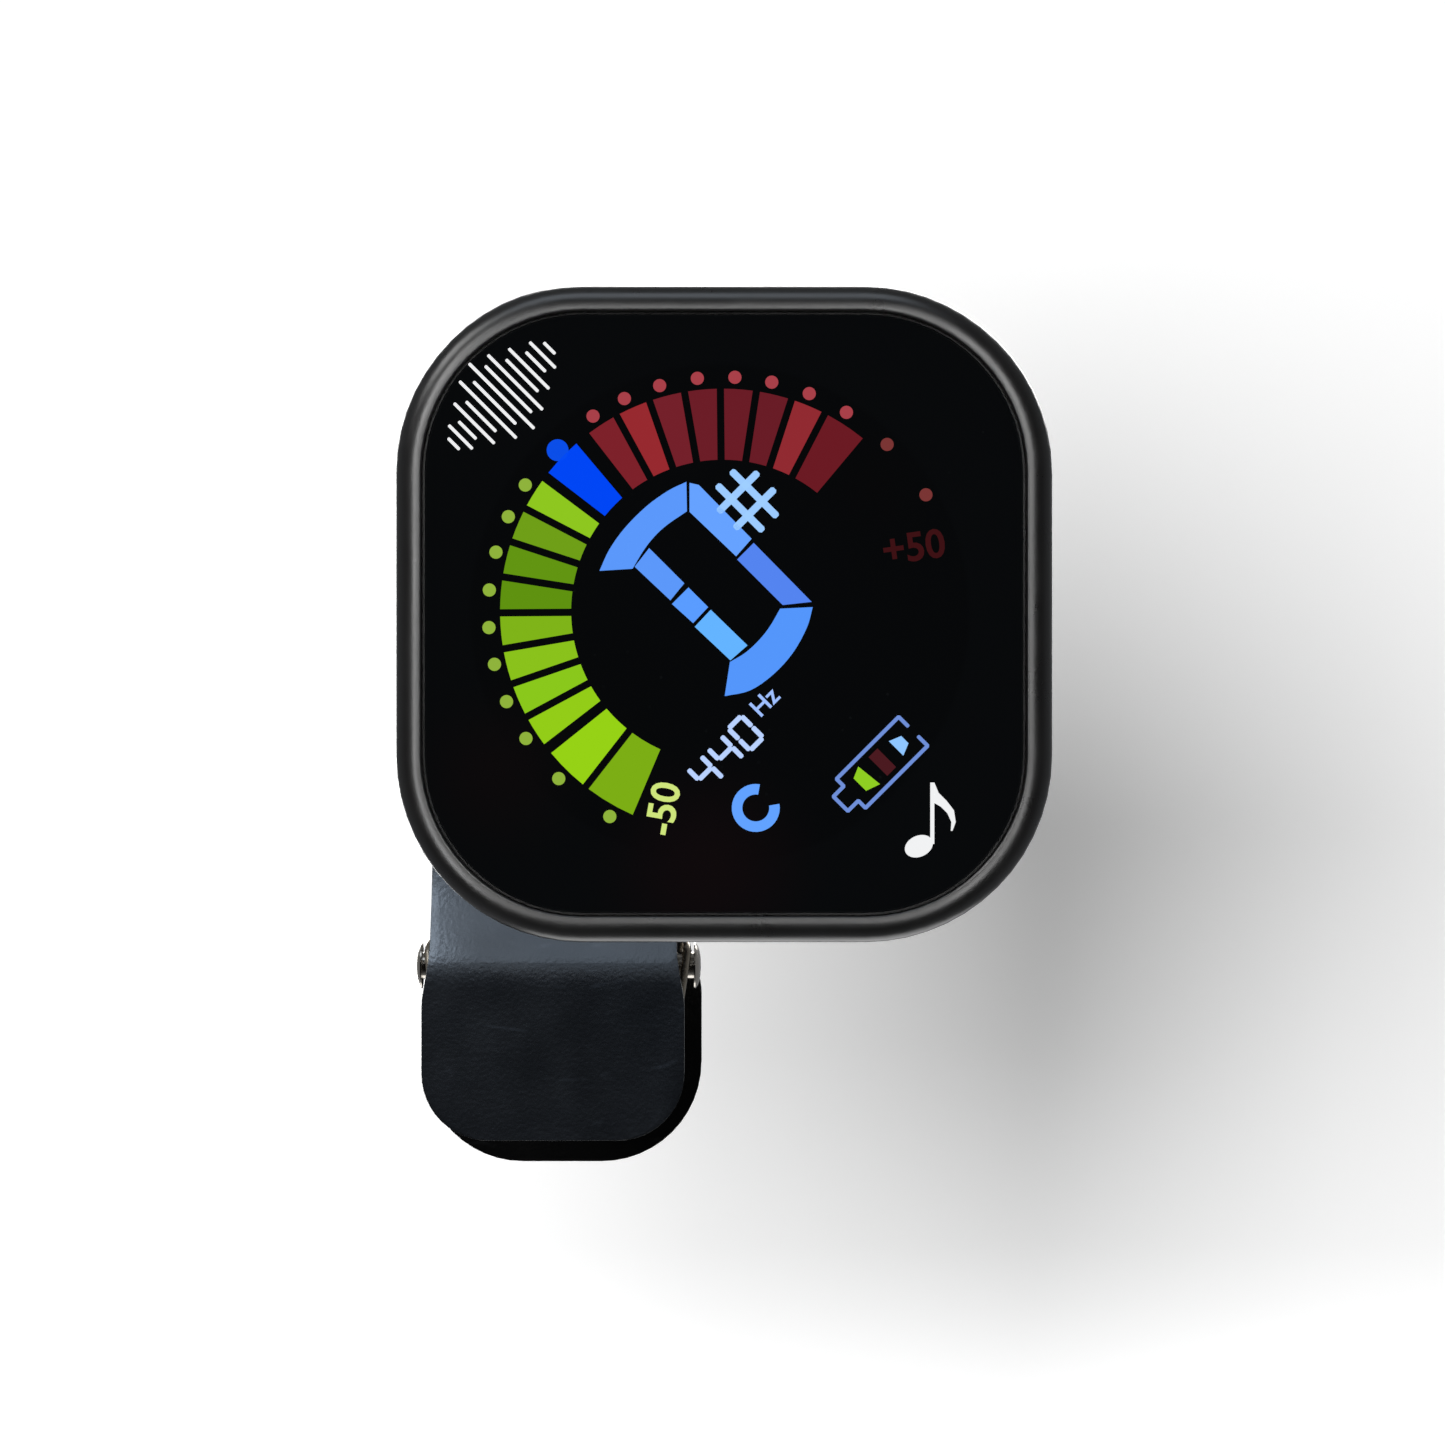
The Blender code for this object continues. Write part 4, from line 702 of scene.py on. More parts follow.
def earShape(sign):
    look = earLook
    foot = leverSizes(frontLook)[1] - clipLook["thickness"] / 2 + look["bury"]
    y, z, half = tiltY / mm, tiltZ / mm, look["footHalf"]
    outline = [(foot, z - half), (foot, z + half), *arcPoints((y, z), look["nose"], 90, 270, 20)]
    outer = sign * look["outside"]
    ends = sorted((sign * look["inside"], outer))
    ear = soften(slab(outline, ends[0], ends[1], "X"), 0.3, 3, 50)
    bore = [(look["bore"], sign * 1.0), (look["bore"], outer - sign * 0.2), (look["boreMouth"], outer),
            (look["boreMouth"], outer + sign * 1.0)]
    return carve(ear, turnedBody(bore, (0, tiltY, tiltZ), "X", 36))


def makeLevers():
    front = [leverPlate(frontLook)] + [knuckleShape(frontLook, sign) for sign in (-1, 1)]
    front += [earShape(sign) for sign in (-1, 1)]
    finishPiece("frontLever", front, filledNylon, "clip", ["front_lever"])
    jawY, gripY = leverSizes(rearLook)[1:]
    half, low, high = stopLook["half"], stopLook["low"], stopLook["high"]
    post = slab([(-half, low), (half, low), (half, high), (-half, high)],
                leverSizes(frontLook)[1] + stopLook["stand"], jawY, "Y")
    plate = leverPlate(rearLook)
    face = gripY + clipLook["thickness"] / 2
    look = grooveLook
    for i in range(look["count"]):   # shallow finger grooves on the rear grip
        z = pinZ / mm - look["first"] - look["pitch"] * i
        half = look["half"] - look["narrowing"] * i
        outline = rounded([(face + 0.6, z - look["wide"], 0), (face + 0.6, z + look["wide"], 0),
                           (face - look["deep"], z, 0.5)], 4)
        carve(plate, slab(outline, -half, half, "X"))
    rear = [plate] + [knuckleShape(rearLook, sign) for sign in (-1, 1)] + [soften(post, 0.25, 3, 50)]
    finishPiece("rearLever", rear, filledNylon, "rear_jaw", ["rear_lever"])


padLook = {"corner": 3.0, "edge": 0.35, "ribPitch": 1.5, "ribGap": 0.55, "ribDepth": 0.4, "ribMargin": 1.3}


def makePad(node, body, facing):
    # facing is 1 where the gripping face looks to +Y
    look = padLook
    middle, half = spanOf(node)
    pad = slab(roundedBox(half.x, half.z, look["corner"], 10, (middle.x, middle.z)), middle.y - half.y,
               middle.y + half.y, "Y")
    soften(pad, look["edge"], 3, 50)
    mouth = middle.y + facing * (half.y + 0.3)
    root = middle.y + facing * (half.y - look["ribDepth"])
    gap = look["ribGap"] / 2
    count = int(2 * half.z / look["ribPitch"]) - 1
    for i in range(count):
        z = middle.z + (i - (count - 1) / 2) * look["ribPitch"]
        outline = [(mouth, z - gap * 1.3), (mouth, z + gap * 1.3), (root, z + gap), (root, z - gap)]
        carve(pad, slab(outline, look["ribMargin"] - half.x, half.x - look["ribMargin"], "X"))
    name = "frontPad" if facing > 0 else "rearPad"
    return finishPiece(name, [pad], siliconeRubber, body, [node])


def makeHingePin():
    half = spanOf("hinge_pin")[1]
    end, head, shank = half.x, half.z, 1.0
    dome = [(0, end), (head * 0.35, end - 0.02), (head * 0.62, end - 0.09), (head * 0.85, end - 0.22),
            (head, end - 0.4), (head, end - 0.5), (shank, end - 0.5)]
    makePin("hingePin", "hinge_pin", (0, pinY, pinZ), dome, 48, sharp=45)


springLook = {"wire": 0.3, "coil": 1.75, "turns": 1, "drop": 9.0, "lean": 1.5, "steps": 72}


def makeSpring(node, sign):
    # a torsion spring: the front leg is outermost and leans in behind the front grip
    look = springLook
    y0, z0 = pinY / mm, pinZ / mm
    reach = leverSizes(frontLook)[0] + clipLook["step"] - look["wire"] - 0.1
    leg = math.pi + math.atan2(look["drop"], reach)
    first = leg - math.acos(look["coil"] / math.hypot(reach, look["drop"]))
    last = math.pi - first - 2 * math.pi * look["turns"]
    middle, half = spanOf(node)
    outside = abs(middle.x) + half.x - look["wire"]
    inside = abs(middle.x) - half.x + look["wire"]
    coil = []
    for i in range(look["steps"] + 1):
        along = i / look["steps"]
        turn = first + (last - first) * along
        coil.append(Vector((outside + (inside - outside) * along, look["coil"] * math.cos(turn),
                            look["coil"] * math.sin(turn))))
    legIn = Vector((outside - look["lean"], -reach, -look["drop"]))
    legOut = Vector((inside, reach, -look["drop"]))
    points = [legIn.lerp(coil[0], t) for t in (0, 0.25, 0.5, 0.75)] + coil
    points += [coil[-1].lerp(legOut, t) for t in (0.25, 0.5, 0.75, 1)]
    wire = tubeBody([Vector((sign * x, y0 + y, z0 + z)) * mm for x, y, z in points], look["wire"])
    name = "springRight" if sign > 0 else "springLeft"
    spring = finishPiece(name, [wire], springWire, None, [node], sharp=60)
    spring.modifiers.clear()
    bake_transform(spring)
    return spring


meterX, meterZ = headX / mm - 0.09, headZ / mm + 0.16
glassY = lensLow.y / mm
# the darker round viewing window first, then painted glows: warm and reddish patches of light painted into
# the window's colour
windowDiscAndPaintedGlows = [
    (((meterX - 0.2) * mm, (meterZ - 0.2) * mm), 17.3, 0.5, "#08080a"),
    (((meterX - 1.0) * mm, (meterZ - 17.5) * mm), 9.0, 9.0, "#30161a"),
    (((meterX + 10.4) * mm, (meterZ + 8.4) * mm), 4.6, 4.6, "#0d0506"),
    (((meterX - 15.5) * mm, (meterZ - 11.0) * mm), 7.0, 7.0, "#241414"),
]
displayLook = {
    "inner": 10.35, "outer": 15.2, "gap": 0.5, "dotRadius": 16.0, "dotSize": 0.45, "rim": 0.07, "lift": 0.03,
    "tuned": 135.5, "step": 9.3,
}


def litMaterial(name, tone):
    # a lit film segment under the window: a constant glow in a faintly mottled film, as glossy as the window
    return makeMaterial({"name": name, "colour": "#020202", "colour2": "#0b0b0b", "roughness": (0.08, 0.14),
                         "ior": 1.49, "patch": 1.1, "grain": 0.4, "depth": 0.002, "relief": 0.05,
                         "sockets": {"Emission Strength": 1.0, "Emission Color": toLinear(tone)}})


def tilted(points):
    # display places (reading right, reading up) to head places: the display reads 45 degrees up to the right
    c = math.sqrt(0.5)
    return [((u - v) * c, (u + v) * c) for u, v in points]


def stroke(a, b, width):
    # a straight bar with cut corners between two points
    a, b = Vector(a), Vector(b)
    tip = (b - a).normalized() * width / 2
    side = Vector((-tip.y, tip.x))
    tip, notch = tip * 0.55, side * 0.55
    return [tuple(p) for p in (a - tip - notch, a - side, b - side, b + tip - notch,
                               b + tip + notch, b + side, a + side, a - tip + notch)]


def smoothEdge(points, perSpan=4):
    # more points along an open edge, on a smooth curve through the given ones
    spots = [Vector(p) for p in points]
    ends = [spots[0] * 2 - spots[1], *spots, spots[-1] * 2 - spots[-2]]
    found = []
    for a, b, c, d in zip(ends, ends[1:], ends[2:], ends[3:]):
        for i in range(perSpan):
            t = i / perSpan
            found.append(tuple(0.5 * (2 * b + (c - a) * t + (2 * a - 5 * b + 4 * c - d) * t * t
                                      + (3 * b - a - 3 * c + d) * t * t * t)))
    return found + [tuple(spots[-1])]


windowPieces = ["lensWindow"]


def onWindow(work, name, tone, rimTone=None):
    # a flat piece that rides with the head: lit in its tone, or in white ink with a painted glow when it has
    # none
    obj = asObject(work, name)
    obj.data.materials.append(litMaterial(name, tone) if tone else inkWithPaintedGlow)
    if rimTone:
        obj.data.materials.append(litMaterial(name + " rim", rimTone))
    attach(obj, "head")
    windowPieces.append(name)


def litPiece(name, outlines, tone, rimTone=None, lift=displayLook["lift"]):
    # flat shapes just proud of the window, each with a thin paler rim
    work = bmesh.new()
    faces = []
    for outline in outlines:
        area = sum(a[0] * b[1] - b[0] * a[1] for a, b in zip(outline, outline[1:] + outline[:1]))
        ordered = outline if area > 0 else outline[::-1]
        verts = [work.verts.new(Vector((meterX + a, glassY - lift, meterZ + b)) * mm) for a, b in ordered]
        faces.append(work.faces.new(verts))
    if rimTone:
        edged = bmesh.ops.inset_individual(work, faces=faces, thickness=displayLook["rim"] * mm)
        for face in edged["faces"]:
            face.material_index = 1
    onWindow(work, name, tone, rimTone)


def meterSegment(centre, wide):
    # one wedge of the scale; wide is the angle from its middle to the middle of each gap beside it
    outline = []
    for radius, side in ((displayLook["outer"], 1), (displayLook["inner"], -1)):
        reach = side * (wide - math.degrees(displayLook["gap"] / 2 / radius))
        outline += arcPoints((0, 0), radius, centre - reach, centre + reach, 3)
    return outline


def dot(angle, radius=displayLook["dotRadius"], size=displayLook["dotSize"]):
    turn = math.radians(angle)
    return arcPoints((radius * math.cos(turn), radius * math.sin(turn)), size, 0, 345, 23)


figureLook = {"width": 1.25, "height": 2.1, "bar": 0.34, "gap": 0.12, "pitch": 1.95, "left": -9.3,
              "low": -8.05}


def sevenSegment(digit):
    # one figure as its bars, from its lower left corner
    gap, w, h = figureLook["gap"], figureLook["width"], figureLook["height"]
    m = h / 2
    bars = {"a": ((gap, h), (w - gap, h)), "b": ((w, h - gap), (w, m + gap)), "c": ((w, m - gap), (w, gap)),
            "d": ((gap, 0), (w - gap, 0)), "e": ((0, gap), (0, m - gap)), "f": ((0, m + gap), (0, h - gap)),
            "g": ((gap, m), (w - gap, m))}
    lit = {"0": "abcdef", "4": "bcfg"}[digit]
    return [stroke(*bars[k], figureLook["bar"]) for k in lit]


def letteringPiece(name, text, size, centre, angle, weight, tone):
    # plain figures as flat lit faces, centred and turned in head places
    curve = bpy.data.curves.new(text, "FONT")
    curve.body = text
    curve.size = size
    curve.align_x = "CENTER"
    curve.align_y = "CENTER"
    curve.offset = weight
    curve.resolution_u = 4
    obj = bpy.data.objects.new(text, curve)
    scene.collection.objects.link(obj)
    bpy.context.view_layer.update()
    flat = bpy.data.meshes.new_from_object(obj.evaluated_get(bpy.context.evaluated_depsgraph_get()))
    bpy.data.objects.remove(obj)
    turn = math.radians(angle)
    for vertex in flat.vertices:
        a, b = vertex.co.x, vertex.co.y
        x = meterX + centre[0] + a * math.cos(turn) - b * math.sin(turn)
        z = meterZ + centre[1] + a * math.sin(turn) + b * math.cos(turn)
        vertex.co = Vector((x, glassY - displayLook["lift"], z)) * mm
    work = bmesh.new()
    work.from_mesh(flat)
    onWindow(work, name, tone)


def makeMeter():
    tuned, step = displayLook["tuned"], displayLook["step"]
    # how far each wedge's middle is from the tuned mark, and its own half width, in steps
    even = [(1.33 + i, 0.5) for i in range(8)]
    flatTones = ["#8ec71f", "#6f9f17", "#629511", "#5f920f", "#7fb418", "#8ac21b", "#8ac81b", "#93cd17",
                 "#96d215", "#7cae14"]
    sharpTones = ["#7d212a", "#97292f", "#74202a", "#6c1d27", "#6a1c26", "#691c26", "#912a31", "#6b1a23"]
    scales = (("flatWedge", 1, even + [(9.66, 0.72), (11.19, 0.81)], flatTones, "#a4dd3a"),
              ("sharpWedge", -1, even[:7] + [(8.51, 0.68)], sharpTones, "#a33b42"))
    for name, side, wedges, tones, rimTone in scales:
        for i, ((away, half), tone) in enumerate(zip(wedges, tones)):
            litPiece(f"{name}{i + 1}", [meterSegment(tuned + side * away * step, half * step)], tone, rimTone)
    litPiece("tunedWedge", [meterSegment(tuned + 0.8, 0.66 * step)], "#0046f5", "#1c5cff")
    litPiece("tunedDot", [dot(tuned + 0.2, 15.75, 0.75)], "#0a4ee8")
    flatDots = [147.4, 156.2, 165.4, 174.8, 184.0, 193.1, 202.7, 212.9, 225.6, 241.2]
    sharpDots = [271 - a for a in flatDots]
    litPiece("flatDots", [dot(a) for a in flatDots], "#8fb33c", "#a9cb55")
    litPiece("sharpDots", [dot(a) for a in sharpDots[:8]], "#a84049", "#bb565e")
    litPiece("sharpDotsDim", [dot(a) for a in sharpDots[8:]], "#7a3534")
    letteringPiece("flatLimit", "-50", 2.75, (-4.0, -13.5), 80, 0.05, "#cfe67c")
    letteringPiece("sharpLimit", "+50", 2.75, (13.05, 4.3), 8, 0.05, "#3d1114")


def makeNoteLetter():
    topArch = (smoothEdge([(-4.0, 7.9), (-2.5, 8.45), (-0.7, 8.75), (1.4, 8.75), (3.2, 8.45), (4.5, 8.0)])
               + smoothEdge([(3.1, 6.55), (1.5, 6.85), (0.3, 6.9), (-0.9, 6.75), (-2.3, 6.4)]))
    upperRight = [(4.6, 7.8), (4.95, 7.25), (4.9, 2.1), (3.3, 2.0), (3.2, 6.4)]
    lowerRight = [(4.8, 1.8), (4.75, -3.85), (3.2, -2.6), (3.2, 1.8)]
    bottomArch = (smoothEdge([(4.55, -4.15), (3.3, -4.85), (1.4, -5.4), (-0.6, -5.5), (-2.5, -5.15),
                              (-4.0, -4.2)])
                  + smoothEdge([(-2.1, -2.8), (-0.9, -3.1), (0.4, -3.15), (1.6, -3.0), (2.9, -2.65)]))
    stemTop = [(-0.5, 6.6), (-0.5, 3.2), (-2.0, 3.05), (-2.1, 6.4)]
    stemMiddle = [(-0.5, 2.8), (-0.5, 0.9), (-2.0, 0.85), (-2.1, 2.8)]
    stemLow = [(-0.5, 0.65), (-0.45, -2.85), (-2.0, -2.75), (-2.1, 0.6)]
    tones = [("noteTop", topArch, "#5b98fb"), ("noteUpperRight", upperRight, "#66a2ff"),
             ("noteLowerRight", lowerRight, "#5484f0"), ("noteBottom", bottomArch, "#5496fb"),
             ("noteStemTop", stemTop, "#5c98fa"), ("noteStemMiddle", stemMiddle, "#5a9cff"),
             ("noteStemLow", stemLow, "#64b4ff")]
    for name, outline, tone in tones:
        litPiece(name, [tilted(outline)], tone, "#7ab4ff")
    signX, signY = 6.45, 4.15
    bars = [(-0.62, -2.1, -0.62, 2.1), (0.75, -2.1, 0.75, 2.1), (-1.75, 0.85, 1.85, 0.85),
            (-1.75, -0.75, 1.85, -0.75)]
    sign = [stroke((signX + a, signY + b), (signX + c, signY + d), 0.5) for a, b, c, d in bars]
    litPiece("sharpSign", [tilted(s) for s in sign], "#9ccbff")


def makeReadouts():
    bars = []
    for index, digit in enumerate("440"):
        left, low = figureLook["left"] + figureLook["pitch"] * index, figureLook["low"]
        bars += [tilted([(left + a, low + b) for a, b in bar]) for bar in sevenSegment(digit)]
    litPiece("pitchFigures", bars, "#b9d2ff")
    letteringPiece("pitchUnit", "Hz", 1.75, tilted([(-2.35, -6.45)])[0], 45, 0.02, "#9fc0ff")
    ringX, ringZ = tilted([(-7.9, -11.1)])[0]
    ring = [(ringX + a, ringZ + b) for a, b in bandOutline(1.28, 0.72, 80, 370, 30)]
    litPiece("modeRing", [ring], "#62a2ff")
    body = [((-2.6, -16.4), (3.4, -16.4)), ((-2.6, -13.6), (3.4, -13.6)), ((-2.6, -16.4), (-2.6, -15.7)),
            ((-2.6, -14.3), (-2.6, -13.6)), ((-2.6, -15.7), (-3.6, -15.7)), ((-2.6, -14.3), (-3.6, -14.3)),
            ((-3.6, -15.7), (-3.6, -14.3)), ((3.4, -16.4), (3.4, -15.5)), ((3.4, -14.5), (3.4, -13.6))]
    litPiece("batteryOutline", [tilted(stroke(a, b, 0.26)) for a, b in body], "#6f8fd8")
    cells = (("Low", "#8fce22", [(-1.75, -15.6), (-0.75, -15.95), (-0.95, -14.05), (-1.75, -14.4)]),
             ("Middle", "#4b1a20", [(0.0, -15.9), (0.85, -15.9), (0.85, -14.1), (0.0, -14.1)]),
             ("High", "#8fc6ff", [(1.75, -15.7), (2.6, -15.35), (2.6, -14.65), (1.75, -14.3)]))
    for name, tone, outline in cells:
        litPiece("battery" + name, [tilted(outline)], tone)


markLook = {"barPitch": 0.66, "barWidth": 0.22, "barsAt": (-15.1, 14.7), "quaverAt": (14.3, -14.3),
            "lean": 24, "lift": 0.02}


def makePrintedMarks():
    # plain decorations in white ink: a row of sound-level bars and a quaver
    look = markLook
    heights = [0.5, 1.1, 0.8, 1.9, 1.4, 2.7, 2.0, 3.1, 2.2, 2.6, 1.5, 1.9, 0.9, 1.2, 0.5]
    bars = []
    for i, height in enumerate(heights):
        u = (i - 7) * look["barPitch"]
        bar = tilted(stroke((u, -height), (u, height), look["barWidth"]))
        bars.append([(x + look["barsAt"][0], z + look["barsAt"][1]) for x, z in bar])
    litPiece("soundBars", bars, None, lift=look["lift"])
    c, s = math.cos(math.radians(look["lean"])), math.sin(math.radians(look["lean"]))
    quaver = {"Head": [(x * c - z * s - 0.9, x * s + z * c - 1.75)
                       for x, z in arcPoints((0, 0), 1.0, 0, 360 * 27 / 28, 27, 0.72)],
              "Stem": [(-0.12, -1.6), (0.16, -1.6), (0.16, 2.6), (-0.12, 2.6)],
              "Flag": [(0.16, 2.6), (0.45, 1.9), (1.0, 1.35), (1.5, 0.7), (1.62, -0.1), (1.4, -0.7),
                       (1.28, -0.7), (1.32, -0.1), (1.05, 0.5), (0.6, 0.95), (0.16, 1.2)]}
    for i, (name, shape) in enumerate(quaver.items()):
        placed = [(x + look["quaverAt"][0], z + look["quaverAt"][1]) for x, z in shape]
        litPiece("quaver" + name, [placed], None, lift=look["lift"] + 0.002 * i)   # each just above the last


hiddenLooks = {
    # slot: the finish it names; these show only when the head is opened or seen through its seams
    "display_panel": {"name": "LCD glass", "colour": "#07090d", "colour2": "#0b0f16", "ior": 1.52,
                      "roughness": (0.04, 0.08), "patch": 8.0, "grain": 1.0, "depth": 0.002},
    "clear_acrylic": {"name": "light guide acrylic", "colour": "#dfe9ef", "colour2": "#eef4f6", "ior": 1.49,
                      "roughness": (0.06, 0.12), "patch": 6.0, "grain": 0.3, "depth": 0.01,
                      "sockets": {"Transmission Weight": 0.6}},
    "white_plastic": {"name": "white polycarbonate", "colour": "#e4e3dd", "colour2": "#d7d5cd", "ior": 1.58,
                      "roughness": (0.38, 0.5), "patch": 5.0, "grain": 0.25, "depth": 0.012},
    "tape_black": {"name": "foam adhesive tape", "colour": "#111113", "colour2": "#1b1b1d", "ior": 1.48,
                   "roughness": (0.75, 0.9), "patch": 2.5, "grain": 0.25, "depth": 0.03, "relief": 0.6},
    "ribbon_film": {"name": "polyimide film", "colour": "#a8590f", "colour2": "#c0701d", "ior": 1.7,
                    "roughness": (0.18, 0.3), "patch": 3.0, "grain": 0.3, "depth": 0.006,
                    "stretch": (6, 1, 1)},
    "board_green": {"name": "solder mask on FR4", "colour": "#0c5a2c", "colour2": "#13703a", "ior": 1.5,
                    "roughness": (0.28, 0.42), "patch": 1.4, "grain": 0.4, "depth": 0.02},
    "chip_black": {"name": "moulded epoxy", "colour": "#19191b", "colour2": "#232325", "ior": 1.55,
                   "roughness": (0.45, 0.6), "patch": 1.0, "grain": 0.12, "depth": 0.012},
    "cell_foil": {"name": "aluminium laminate", "colour": "#b7b9bd", "colour2": "#9fa2a8", "metallic": 1.0,
                  "roughness": (0.26, 0.4), "patch": 3.0, "grain": 1.2, "depth": 0.05},
    "piezo_brass": {"name": "rolled brass", "colour": "#c39a52", "colour2": "#a9813f", "metallic": 1.0,
                    "roughness": (0.22, 0.36), "patch": 2.0, "grain": 0.2, "depth": 0.006,
                    "stretch": (1, 1, 5)},
    "piezo_ceramic": {"name": "silvered ceramic", "colour": "#d6d2c6", "colour2": "#c2beb2", "ior": 2.0,
                      "roughness": (0.42, 0.6), "patch": 1.5, "grain": 0.15, "depth": 0.012},
    "lead_red": {"name": "red PVC sleeve", "colour": "#a3141a", "colour2": "#b6272b", "ior": 1.54,
                 "roughness": (0.36, 0.5), "patch": 2.0, "grain": 0.2, "depth": 0.01},
    "lead_black": {"name": "black PVC sleeve", "colour": "#111112", "colour2": "#1a1a1b", "ior": 1.54,
                   "roughness": (0.36, 0.5), "patch": 2.0, "grain": 0.2, "depth": 0.01},
}
hidden = {slot: makeMaterial(look) for slot, look in hiddenLooks.items()}
insidePieces = {
    "display_panel": "lcd_panel", "clear_acrylic": "light_guide",
    "white_plastic": "backlight_tray backlight_led_strip power_switch_plunger mode_switch_plunger",
    "tape_black": "lens_tape battery_tape", "ribbon_film": "display_ribbon", "board_green": "main_board",
    "chip_black": "processor_chip charger_chip power_switch_body mode_switch_body",
    "cell_foil": "battery_cell", "piezo_brass": "piezo_plate", "piezo_ceramic": "piezo_ceramic",
    "lead_red": "battery_lead_red piezo_lead_red",
    "lead_black": "battery_lead_black piezo_lead_black", "bright_steel": "swivel_washer swivel_screw",
}


def finishInside():
    for slot, names in insidePieces.items():
        for name in names.split():
            node = frame["nodes"][name]
            node.data.materials.clear()
            node.data.materials.append(hidden.get(slot, turnedSteel))


setLook = {"floorZ": -230.0, "wallY": 600.0, "width": 3000.0, "frontY": -3000.0, "curve": 120.0,
           "height": 3000.0, "glow": 0.2, "floorGlow": 0.85, "glowFrom": 300.0, "glowTo": 1000.0}


def makeBackdrop(look):
    # one white sweep: floor, a wide curve and a wall
    line = [(look["frontY"], look["floorZ"])]
    r = look["curve"]
    line += arcPoints((look["wallY"] - r, look["floorZ"] + r), r, -90, 0, 15)
    line.append((look["wallY"], look["height"]))
    work = bmesh.new()
    ends = (-look["width"], look["width"])
    rows = [[work.verts.new(Vector((x, y, z)) * mm) for x in ends] for y, z in line]
    sweep = skin(work, rows, around=False)
    sweep.name = "backdrop"
    sweep.data.shade_smooth()
    # paper sweep: flat white, no sheen
    paper = makeMaterial({"name": "backdrop paper", "colour": "#f6f6f6", "colour2": "#f8f8f8",
                          "roughness": (0.85, 0.95), "ior": 1.3, "patch": 80.0, "grain": 3.0, "depth": 0.02,
                          "relief": 0.1})
    # evenly lit from behind, more so on the floor and far out on the wall, where the near lamp doesn't reach
    tree, shader = partsOf(paper)[:2]
    spot = addNode(tree, "NewGeometry")
    up = addNode(tree, "SeparateXYZ", None, {0: spot.outputs["Normal"]})
    onFloor = addNode(tree, "MapRange", {"To Min": look["glow"], "To Max": look["floorGlow"]},
                      {"Value": up.outputs["Z"]})
    away = addNode(tree, "VectorMath", {"operation": "DISTANCE", 1: (headX, look["wallY"] * mm, 0)},
                   {0: spot.outputs["Position"]})
    farOut = addNode(tree, "MapRange", {"From Min": look["glowFrom"] * mm, "From Max": look["glowTo"] * mm,
                                        "To Min": look["glow"], "To Max": look["floorGlow"]},
                     {"Value": away.outputs["Value"]})
    glow = addNode(tree, "Math", {"operation": "MAXIMUM"},
                   {0: onFloor.outputs["Result"], 1: farOut.outputs["Result"]})
    shader.inputs["Emission Color"].default_value = toLinear("#ffffff")
    tree.links.new(glow.outputs[0], shader.inputs["Emission Strength"])
    sweep.data.materials.append(paper)
    # the sweep is lit apart from the object, so it throws no light back on it
    sweep.visible_diffuse = False
    sweep.visible_glossy = False
    sweep.visible_shadow = False


def linkTo(name, pieces, state="INCLUDE"):
    # a collection that limits a lamp to these pieces, or keeps it off them
    group = bpy.data.collections.new(name)
    for index, piece in enumerate(pieces):
        group.objects.link(bpy.data.objects[piece])
        group.collection_objects[index].light_linking.link_state = state
    return group


def addSoftbox(name, place, size, power, aim, tone="#ffffff", lights=None, shadedBy=None):
    data = bpy.data.lights.new(name, "AREA")
    data.shape = "RECTANGLE"
    data.size, data.size_y = size[0] * mm, size[1] * mm
    data.energy = power
    data.color = toLinear(tone)[:3]
    lamp = bpy.data.objects.new(name, data)
    lamp.location = Vector(place) * mm
    direction = Vector(aim) * mm - lamp.location
    lamp.rotation_euler = direction.to_track_quat("-Z", "Y").to_euler()
    scene.collection.objects.link(lamp)
    # a lamp for one piece, or for all but the sweep and what shows in the window
    if lights:
        linked = linkTo(name + " lights", [lights])
    else:
        linked = linkTo(name + " spares", ["backdrop"] + windowPieces, "EXCLUDE")
    lamp.light_linking.receiver_collection = linked
    if shadedBy:
        lamp.light_linking.blocker_collection = linkTo(name + " shaded by", [shadedBy])
    return lamp


def makeLights():
    middle = (headX / mm, headFront / mm, 4)
    addSoftbox("key", (-560, -470, 560), (360, 360), 2.6, middle)
    addSoftbox("overhead", (-20, -260, 440), (340, 200), 0.55, middle, tone="#dfe9f5")
    addSoftbox("backFill", (160, 560, 320), (500, 400), 5.0, middle)
    addSoftbox("backRim", (-220, 540, 60), (200, 420), 2.0, middle)
    addSoftbox("underFill", (60, 200, -420), (400, 400), 1.2, middle)
    # narrow strips that only the case sees, for the line of light round its crest
    addSoftbox("leftStrip", (-150, -420, 20), (50, 420), 0.85, middle, lights="frontCase")
    addSoftbox("rightStrip", (120, -420, 20), (45, 420), 0.5, middle, lights="frontCase")
    addSoftbox("topStrip", (12, -420, 96), (380, 36), 0.5, middle, lights="frontCase")
    addSoftbox("lowStrip", (12, -420, -100), (380, 36), 0.3, middle, lights="frontCase")
    # the sky above the bend of the grip, which the head doesn't shade
    addSoftbox("bendGlow", (-40, -330, 400), (300, 140), 5.0, (0, -6, -16), lights="frontLever",
               shadedBy="backdrop", tone="#cfe2f8")
    # close by, and only for the sweep: the soft shadow right and below
    addSoftbox("shadowLamp", (-24, -325, 22), (70, 70), 7.4, middle, lights="backdrop")


# linear tones: what shiny things see behind the camera and before it, the even fill, and what the camera sees
worldLook = {"dim": (0.004, 0.0042, 0.0046, 1), "bright": (0.24, 0.247, 0.258, 1), "fill": (0.1, 0.1, 0.1, 1),
             "seen": (1.0, 1.0, 1.0, 1)}


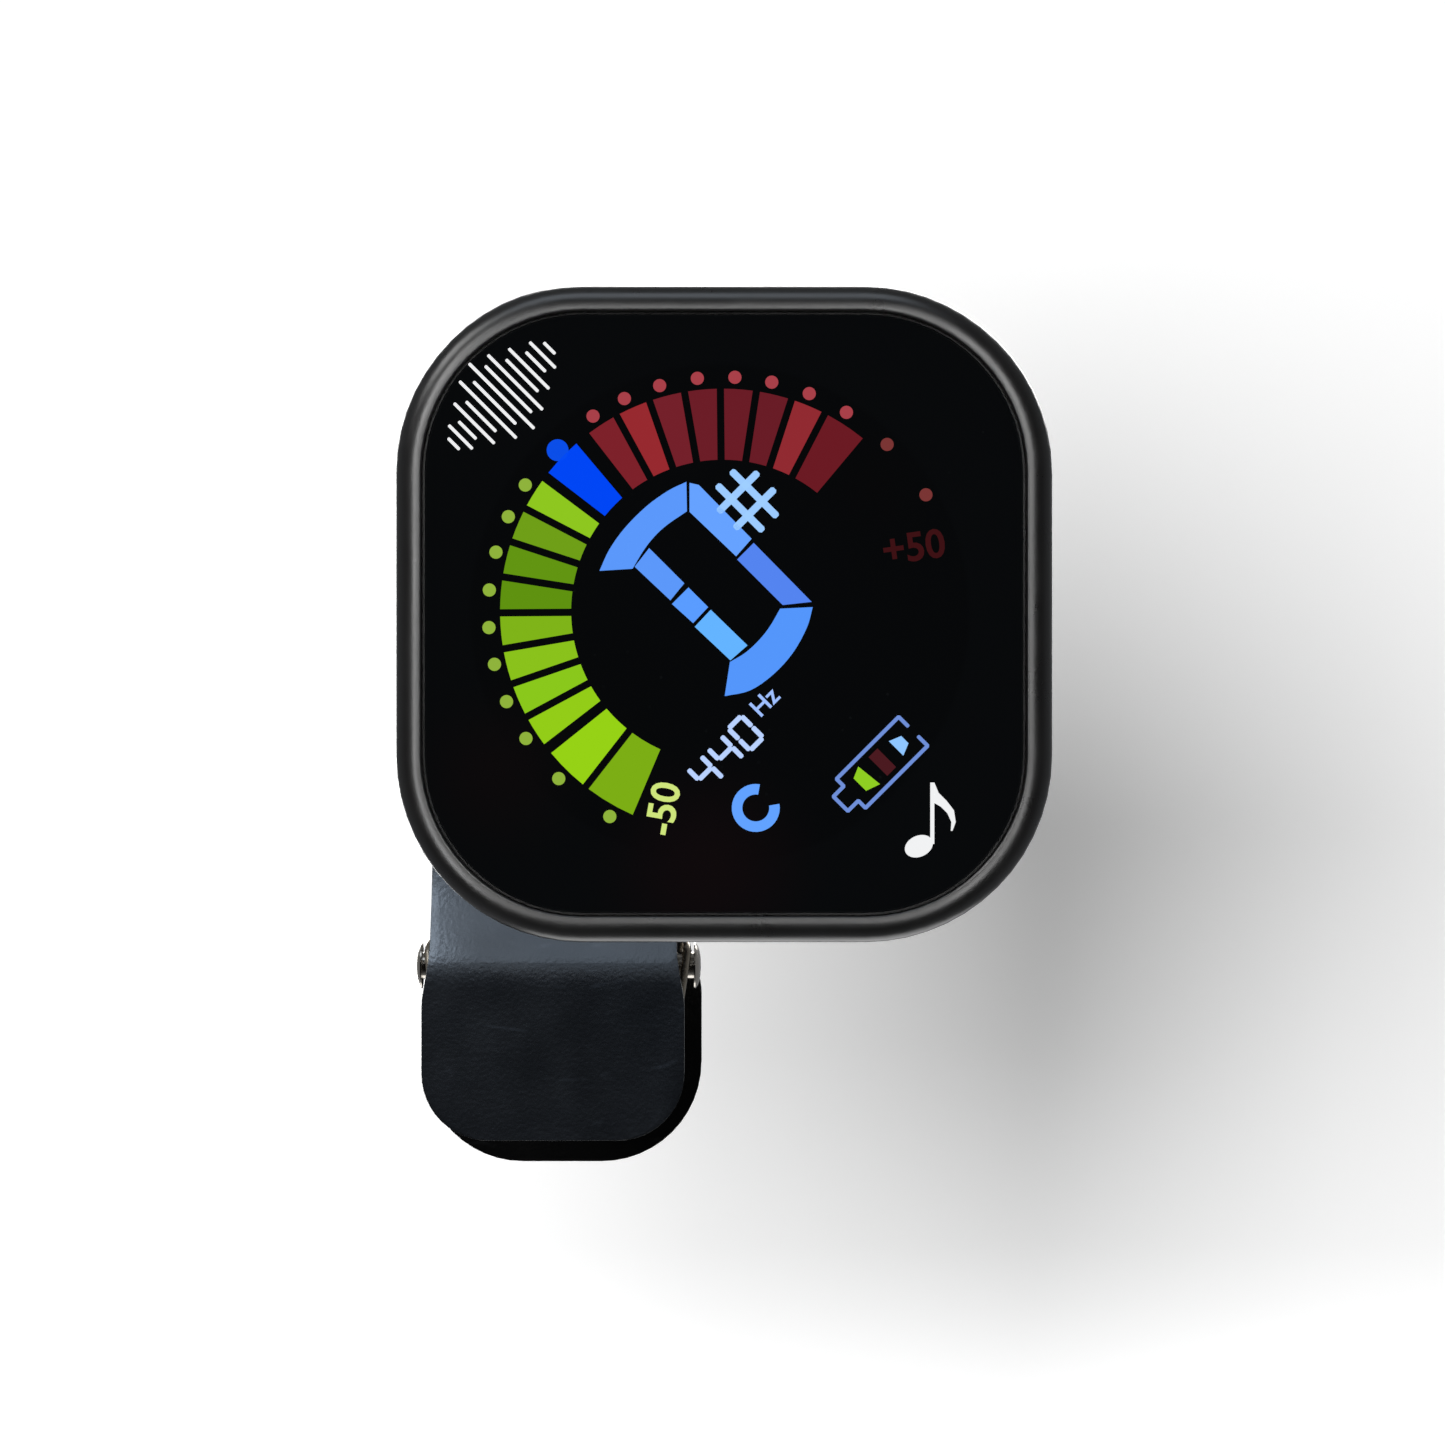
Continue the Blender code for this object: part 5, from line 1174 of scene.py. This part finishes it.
def makeWorld(look):
    world = bpy.data.worlds.new("studio")
    scene.world = world
    world.use_nodes = True
    tree = world.node_tree
    tree.nodes.clear()
    direction = addNode(tree, "TexCoord").outputs["Generated"]
    parts = addNode(tree, "SeparateXYZ", None, {0: direction})
    edges = {"interpolation_type": "SMOOTHSTEP", "From Min": -0.85, "From Max": 0.1}
    front = addNode(tree, "MapRange", edges, {"Value": parts.outputs["Y"]})
    tone = addNode(tree, "Mix", {"data_type": "RGBA", 6: look["dim"], 7: look["bright"]},
                   {0: front.outputs["Result"]})
    ray = addNode(tree, "LightPath")
    # shiny things see a dim room, dark behind the camera, while matt ones get an even fill
    fill = addNode(tree, "Mix", {"data_type": "RGBA", 7: look["fill"]},
                   {0: ray.outputs["Is Diffuse Ray"], 6: tone.outputs[2]})
    seen = addNode(tree, "Mix", {"data_type": "RGBA", 7: look["seen"]},
                   {0: ray.outputs["Is Camera Ray"], 6: fill.outputs[2]})
    background = addNode(tree, "Background", {"Strength": 1.0}, {"Color": seen.outputs[2]})
    addNode(tree, "OutputWorld", None, {"Surface": background.outputs[0]})


# its place is counted from the middle of the head's front, in millimetres
cameraLook = {"lens": 109, "sensor": 36, "place": (-0.1, -298.6, -7.44)}


def makeCamera(look):
    data = bpy.data.cameras.new("camera")
    data.lens = look["lens"]
    data.sensor_width = look["sensor"]
    data.clip_start = 0.01
    camera = bpy.data.objects.new("camera", data)
    x, y, z = look["place"]
    camera.location = (headX + x * mm, headFront + y * mm, headZ + z * mm)
    camera.rotation_euler = (math.radians(90), 0, 0)
    scene.collection.objects.link(camera)
    scene.camera = camera


scuffGrip(filledNylon)
dustAndPaintedGlowOnLens(acrylicWithPaintedHaze)
print("stage 2: finishes ready")
makeCase(headLook)
makeLens()
makeRearCover(headLook)
for number in range(1, 6):
    makeCoverScrew(number)
makeButton("power_button", powerSymbol)
makeButton("mode_button", modeSymbol)
makeUsbSocket()
print("stage 3: head made")
makeHub()
makeTiltPin()
makeLevers()
makePad("front_pad", "clip", 1)
makePad("rear_pad", "rear_jaw", -1)
makeHingePin()
makeSpring("spring_left", -1)
makeSpring("spring_right", 1)
print("stage 4: clip made")
makeMeter()
makeNoteLetter()
makeReadouts()
makePrintedMarks()
print("stage 5: display lit")
finishInside()
makeBackdrop(setLook)
makeLights()
makeWorld(worldLook)
makeCamera(cameraLook)
print("stage 6: set and camera ready")
